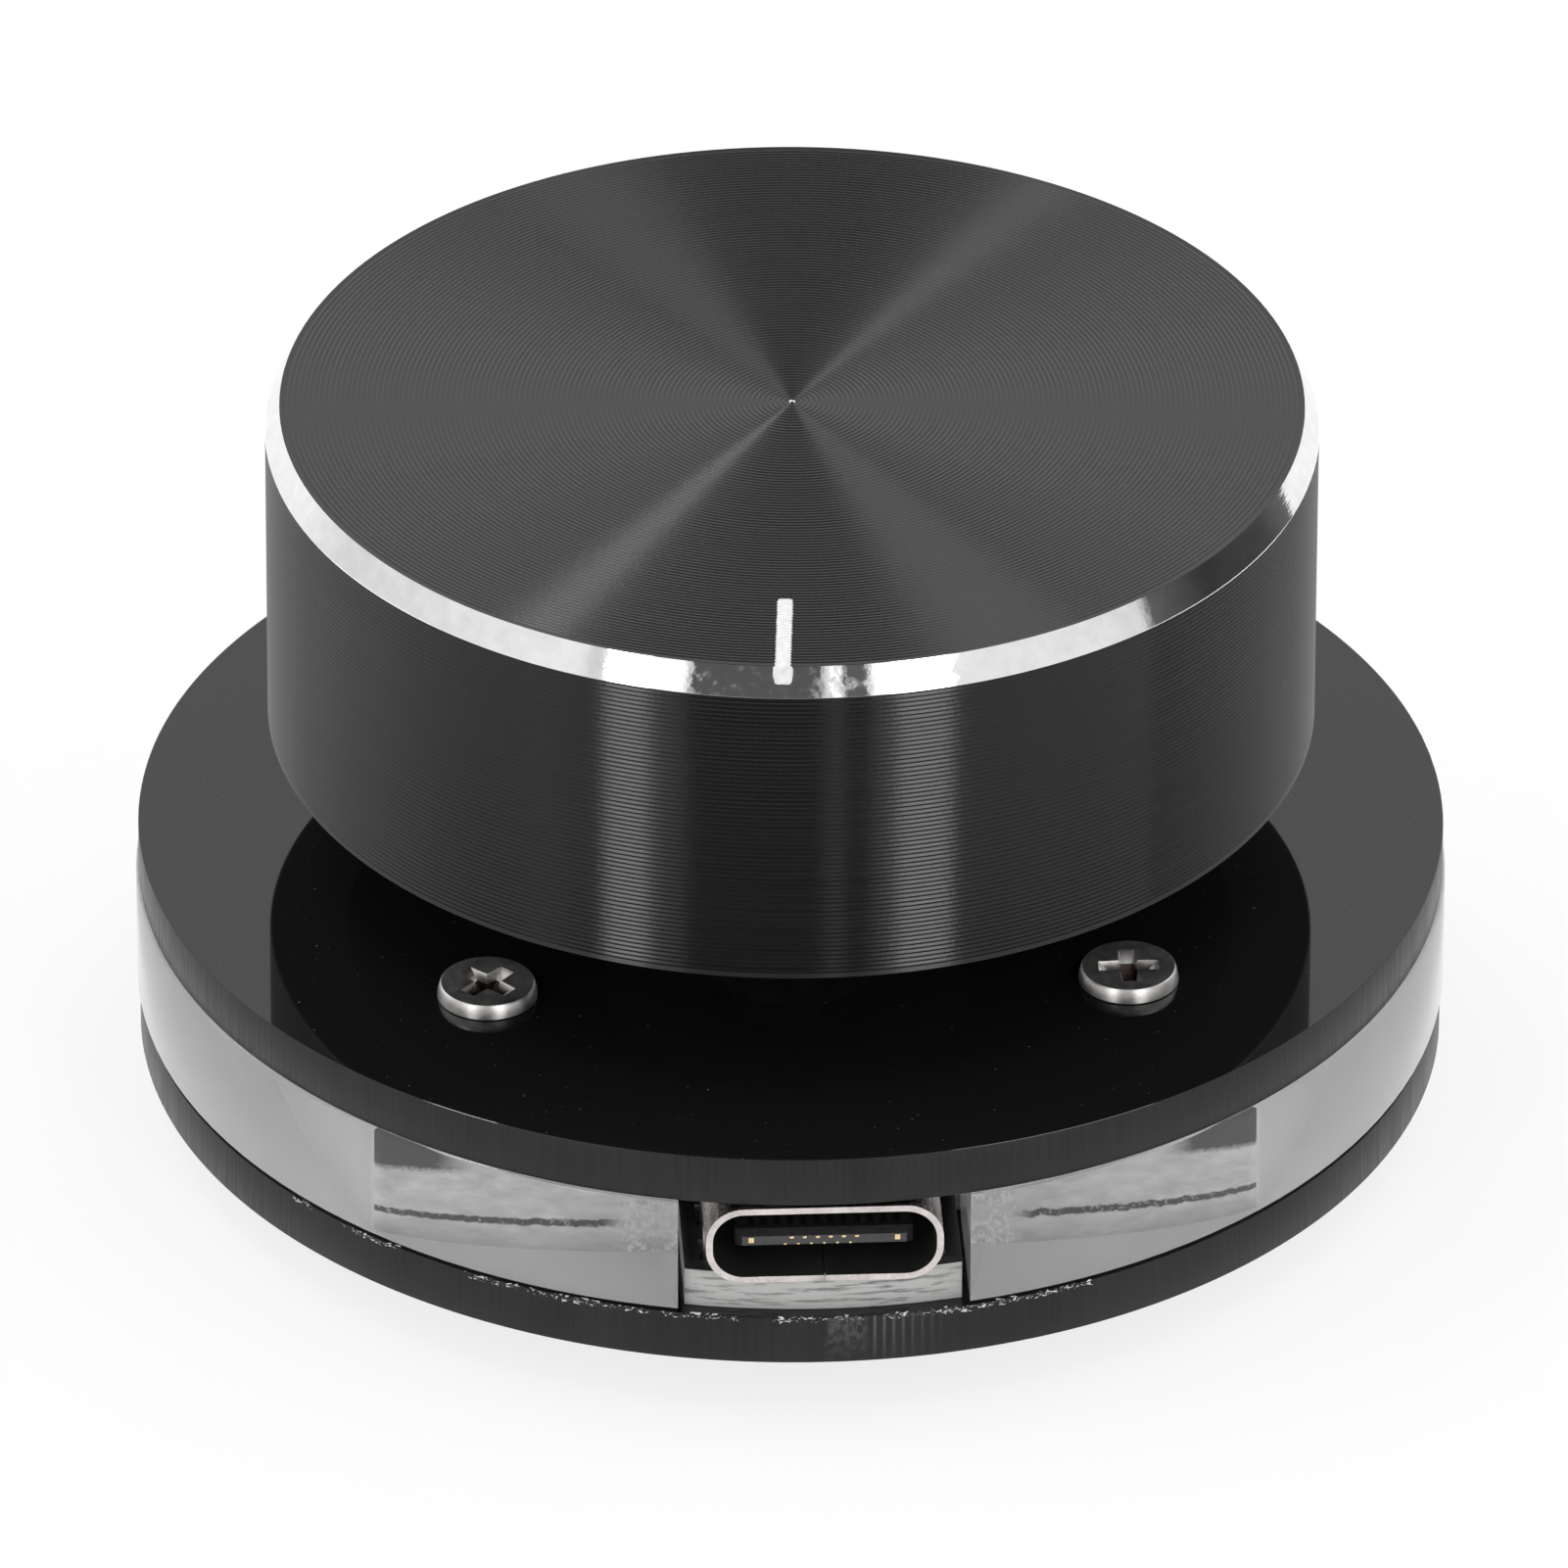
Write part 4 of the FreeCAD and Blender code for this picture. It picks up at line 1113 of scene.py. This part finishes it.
def make_inner_pieces():
    """Pieces inside: copies with edges rounded by so many millimetres, or solids as they are."""
    rounded = {
        "circuit_board": ("laminate_board", 0.03, BOARD, "board_laminate"),
        "standoffs": ("hex_standoffs", 0.12, BRASS, "standoff_brass"),
        "controller_chip": ("chip_package", 0.08, PACKAGE, "chip_resin"),
        "chip_capacitors": ("chip_capacitor_pair", 0.06, CERAMIC, "capacitor_ceramic"),
        "chip_resistors": ("chip_resistor_pair", 0.05, FILM, "resistor_film"),
        "ring_lights": ("lamp_packages", 0.08, LAMP_CASE, "light_case"),
        "encoder_base": ("encoder_wafer", 0.08, RESIN, "encoder_resin"),
        "encoder_housing": ("encoder_case", 0.12, RESIN, "encoder_resin"),
        "encoder_bracket": ("formed_bracket", 0.05, BRACKET, "bracket_steel"),
    }
    for node, (name, width, material, slot) in rounded.items():
        finish_piece(rounded_copy(node, width * MM), name, "base", [material], [node])
    kept = {
        "rubber_feet": RUBBER, "controller_leads": TIN, "encoder_bushing": ZINC,
        "encoder_terminals": TIN, "detent_spring": SPRING, "contact_wipers": SPRING,
        "switch_dome": SPRING, "encoder_rotor": ROTOR, "encoder_shaft": SHAFT, "shaft_clip": SPRING,
        "knob_set_screw": SET_SCREW,
    }
    for node, material in kept.items():
        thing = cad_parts[node]
        thing.data.materials.clear()
        thing.data.materials.append(material)


# Studio


def direction(azimuth, elevation):
    """A direction from the object; azimuth 0 is the camera's side, and both angles are in radians."""
    level = math.cos(elevation)
    return Vector((math.sin(azimuth) * level, -math.cos(azimuth) * level, math.sin(elevation)))


def make_floor():
    """A wide pale floor that keeps the object's shadow and looks white to the camera."""
    bpy.ops.mesh.primitive_circle_add(
        vertices=96, radius=FLOOR_RADIUS, fill_type="NGON", location=(0, 0, -FLOOR_GAP))
    floor = bpy.context.object
    floor.name = "floor"
    material = bpy.data.materials.new("floor_white")
    material.use_nodes = True
    tree = material.node_tree
    tree.nodes.clear()
    path = add(tree, "LightPath")
    seen = path.outputs["Is Camera Ray"]
    for kind in ("Is Glossy Ray", "Is Transmission Ray"):
        seen = maths(tree, "MAXIMUM", seen, path.outputs[kind])
    plain = add(tree, "BsdfDiffuse", {"Color": grey(FLOOR_LIT)})
    pale = add(tree, "BsdfDiffuse", {"Color": grey(FLOOR_SEEN)})
    glow = add(tree, "Emission", {"Color": grey(1), "Strength": 1.0})
    shown = add(tree, "MixShader", {0: FLOOR_GLOW, 1: pale.outputs[0], 2: glow.outputs[0]})
    mixed = add(tree, "MixShader", {0: seen, 1: plain.outputs[0], 2: shown.outputs[0]})
    output = add(tree, "OutputMaterial")
    tree.links.new(mixed.outputs[0], output.inputs["Surface"])
    floor.data.materials.append(material)


CAMERA_BACK = direction(CAMERA_AZIMUTH, CAMERA_ELEVATION)

# How bright the room is by angle from the camera's side, as (degrees, level): low, higher up, and
# overhead, where the angle is the one round the knob's top that mirrors it
ROOM_LOW = (
    (-180, 0.8), (-160, 1.2), (-127, 1.0), (-108, 0.76), (-74, 0.86), (-47, 0.93), (-46, 0.7),
    (-42, 0.76), (-41, 1.3), (-25.5, 1.3), (-24.5, 0.1), (3.7, 0.1), (4.7, 1.3), (7, 1.3), (8, 0.12),
    (13.2, 0.12), (14.2, 1.3), (27.5, 1.3), (29.5, 0.9), (66, 0.84), (75, 0.75), (77, 0.12),
    (92, 0.04), (112, 0.06), (125, 0.16), (145, 0.2), (150, 1.2), (165, 0.8), (180, 0.8))
ROOM_HIGH = (
    (-180, 1.4), (-135, 2.1), (-100, 1.8), (-75, 0.75), (-42, 0.2), (-20, 0.18), (10, 0.18),
    (42, 0.22), (75, 0.85), (100, 1.95), (135, 2.2), (180, 1.4))
CEILING = (
    (-180, 0.65), (-160, 0.2), (-145, 0.75), (-125, 0.95), (-60, 1.0), (-32, 1.05), (-23, 0.45),
    (-5, 0.3), (5, 0.3), (14, 0.4), (18, 0.95), (60, 1.0), (125, 0.95), (145, 0.8), (160, 0.4),
    (180, 0.65))
MIRRORED_MIDDLE = 0.95
MIDDLE_FADE = (0.1, 0.2)
# Where one part of the room gives way to the next, by the upward or backward part of the direction
WALL_TILT = 0.28
WALL_SPLIT = (0.17, 0.23)
FAR_WALL_SIDE = (0.45, 0.55)
FAR_WALL_FOOT = (0.05, 0.15)
OVERHEAD = (0.62, 0.7)

LAMP_DISTANCE = 0.8
# Name, azimuth and elevation in degrees, width and height in metres, brightness
LAMPS = (
    ("left_strip", -37, 20, 0.125, 0.6, 5.0),
    ("right_strip", 24.5, 20, 0.155, 0.6, 5.0),
    ("left_top", -117, 65, 0.35, 0.07, 12.0),
    ("right_top", 111, 69, 0.35, 0.19, 3.5))


def room_row(tree, angle, levels):
    """Brightness by an angle in radians, from a list of (degrees, level) that runs once round."""
    ramp = add(tree, "ValToRGB", {"Fac": spread(tree, angle, 0, 1, -math.pi, math.pi)})
    stops = ramp.color_ramp.elements
    stops.remove(stops[1])
    for i, (degrees, level) in enumerate(levels):
        share = (degrees + 180) / 360
        stop = stops[0] if i == 0 else stops.new(share)
        stop.position = share
        stop.color = grey(level)
    return ramp.outputs["Color"]


def angle_round(tree, vector):
    """Angle round the upright axis from the camera's side, positive to the right."""
    x, y, _ = parts_of(tree, vector)
    return maths(tree, "ARCTAN2", x, maths(tree, "MULTIPLY", y, -1))


def make_world():
    """Soft room light: walls by angle, and a ceiling laid out by where the knob's top mirrors it."""
    world = bpy.data.worlds.new("studio")
    bpy.context.scene.world = world
    world.use_nodes = True
    tree = world.node_tree
    tree.nodes.clear()
    way = add(tree, "TexCoord").outputs["Generated"]
    _, back, upward = parts_of(tree, way)
    angle = angle_round(tree, way)
    upper = spread(tree, maths(tree, "MULTIPLY_ADD", back, WALL_TILT, upward), 0, 1, *WALL_SPLIT)
    rows = [room_row(tree, angle, levels) for levels in (ROOM_LOW, ROOM_HIGH)]
    walls = blend_colours(tree, upper, *rows)
    halfway = add(tree, "VectorMath", {0: way, 1: CAMERA_BACK}, operation="ADD").outputs["Vector"]
    flat = add(tree, "VectorMath", {0: halfway, 1: (1, 1, 0)}, operation="MULTIPLY").outputs["Vector"]
    length = add(tree, "VectorMath", {0: flat}, operation="LENGTH").outputs["Value"]
    outer = spread(tree, length, 0, 1, *MIDDLE_FADE)
    ceiling = room_row(tree, angle_round(tree, halfway), CEILING)
    ceiling = blend_colours(tree, outer, grey(MIRRORED_MIDDLE), ceiling)
    behind = spread(tree, back, 0, 1, *FAR_WALL_SIDE)
    raised = spread(tree, upward, 0, 1, *FAR_WALL_FOOT)
    overhead = spread(tree, upward, 0, 1, *OVERHEAD)
    roof = maths(tree, "MAXIMUM", product(tree, behind, raised), overhead)
    level = blend_colours(tree, roof, walls, ceiling)
    light = add(tree, "Background", {"Color": level, "Strength": 1.0})
    white = add(tree, "Background", {"Color": grey(1), "Strength": 1.0})
    path = add(tree, "LightPath")
    seen = path.outputs["Is Camera Ray"]
    mixed = add(tree, "MixShader", {0: seen, 1: light.outputs[0], 2: white.outputs[0]})
    output = add(tree, "OutputWorld")
    tree.links.new(mixed.outputs[0], output.inputs["Surface"])


def softbox(name, azimuth, elevation, width, height, level):
    """A soft lamp facing the knob; azimuth 0 is the camera's side and level is its brightness."""
    towards = direction(math.radians(azimuth), math.radians(elevation))
    lamp = bpy.data.lights.new(name, "AREA")
    lamp.shape = "RECTANGLE"
    lamp.size = width
    lamp.size_y = height
    lamp.energy = level * math.pi * width * height
    thing = new_object(name, lamp)
    thing.location = UP * KNOB_BASE + towards * LAMP_DISTANCE
    thing.rotation_mode = "QUATERNION"
    thing.rotation_quaternion = towards.to_track_quat("Z", "Y")


def make_lamps():
    """Two tall strips that the knob's side mirrors, and two lamps for the streaks on its top."""
    for lamp in LAMPS:
        softbox(*lamp)


def make_camera():
    """The camera at the photograph's viewing angle, far off with a long lens."""
    roll = CAMERA_ROLL
    back = CAMERA_BACK
    level = Vector((math.cos(CAMERA_AZIMUTH), math.sin(CAMERA_AZIMUTH), 0))
    rise = back.cross(level)
    right = math.cos(roll) * level + math.sin(roll) * rise
    up = math.cos(roll) * rise - math.sin(roll) * level
    lens = bpy.data.cameras.new("camera")
    lens.lens = CAMERA_LENS
    lens.sensor_width = CAMERA_SENSOR
    lens.clip_start = 0.1
    lens.clip_end = 20
    camera = new_object("camera", lens)
    place = back * CAMERA_DISTANCE + right * CAMERA_SIDE + up * CAMERA_RISE
    turn = Matrix((right, up, back)).transposed()
    camera.matrix_world = Matrix.LocRotScale(place, turn, None)
    bpy.context.scene.camera = camera


make_knob()
make_pointer()
make_plates()
make_ring()
make_seam_chips()
make_screws()
make_socket()
make_inner_pieces()
make_floor()
make_world()
make_lamps()
make_camera()
bpy.context.scene.view_settings.view_transform = "Standard"
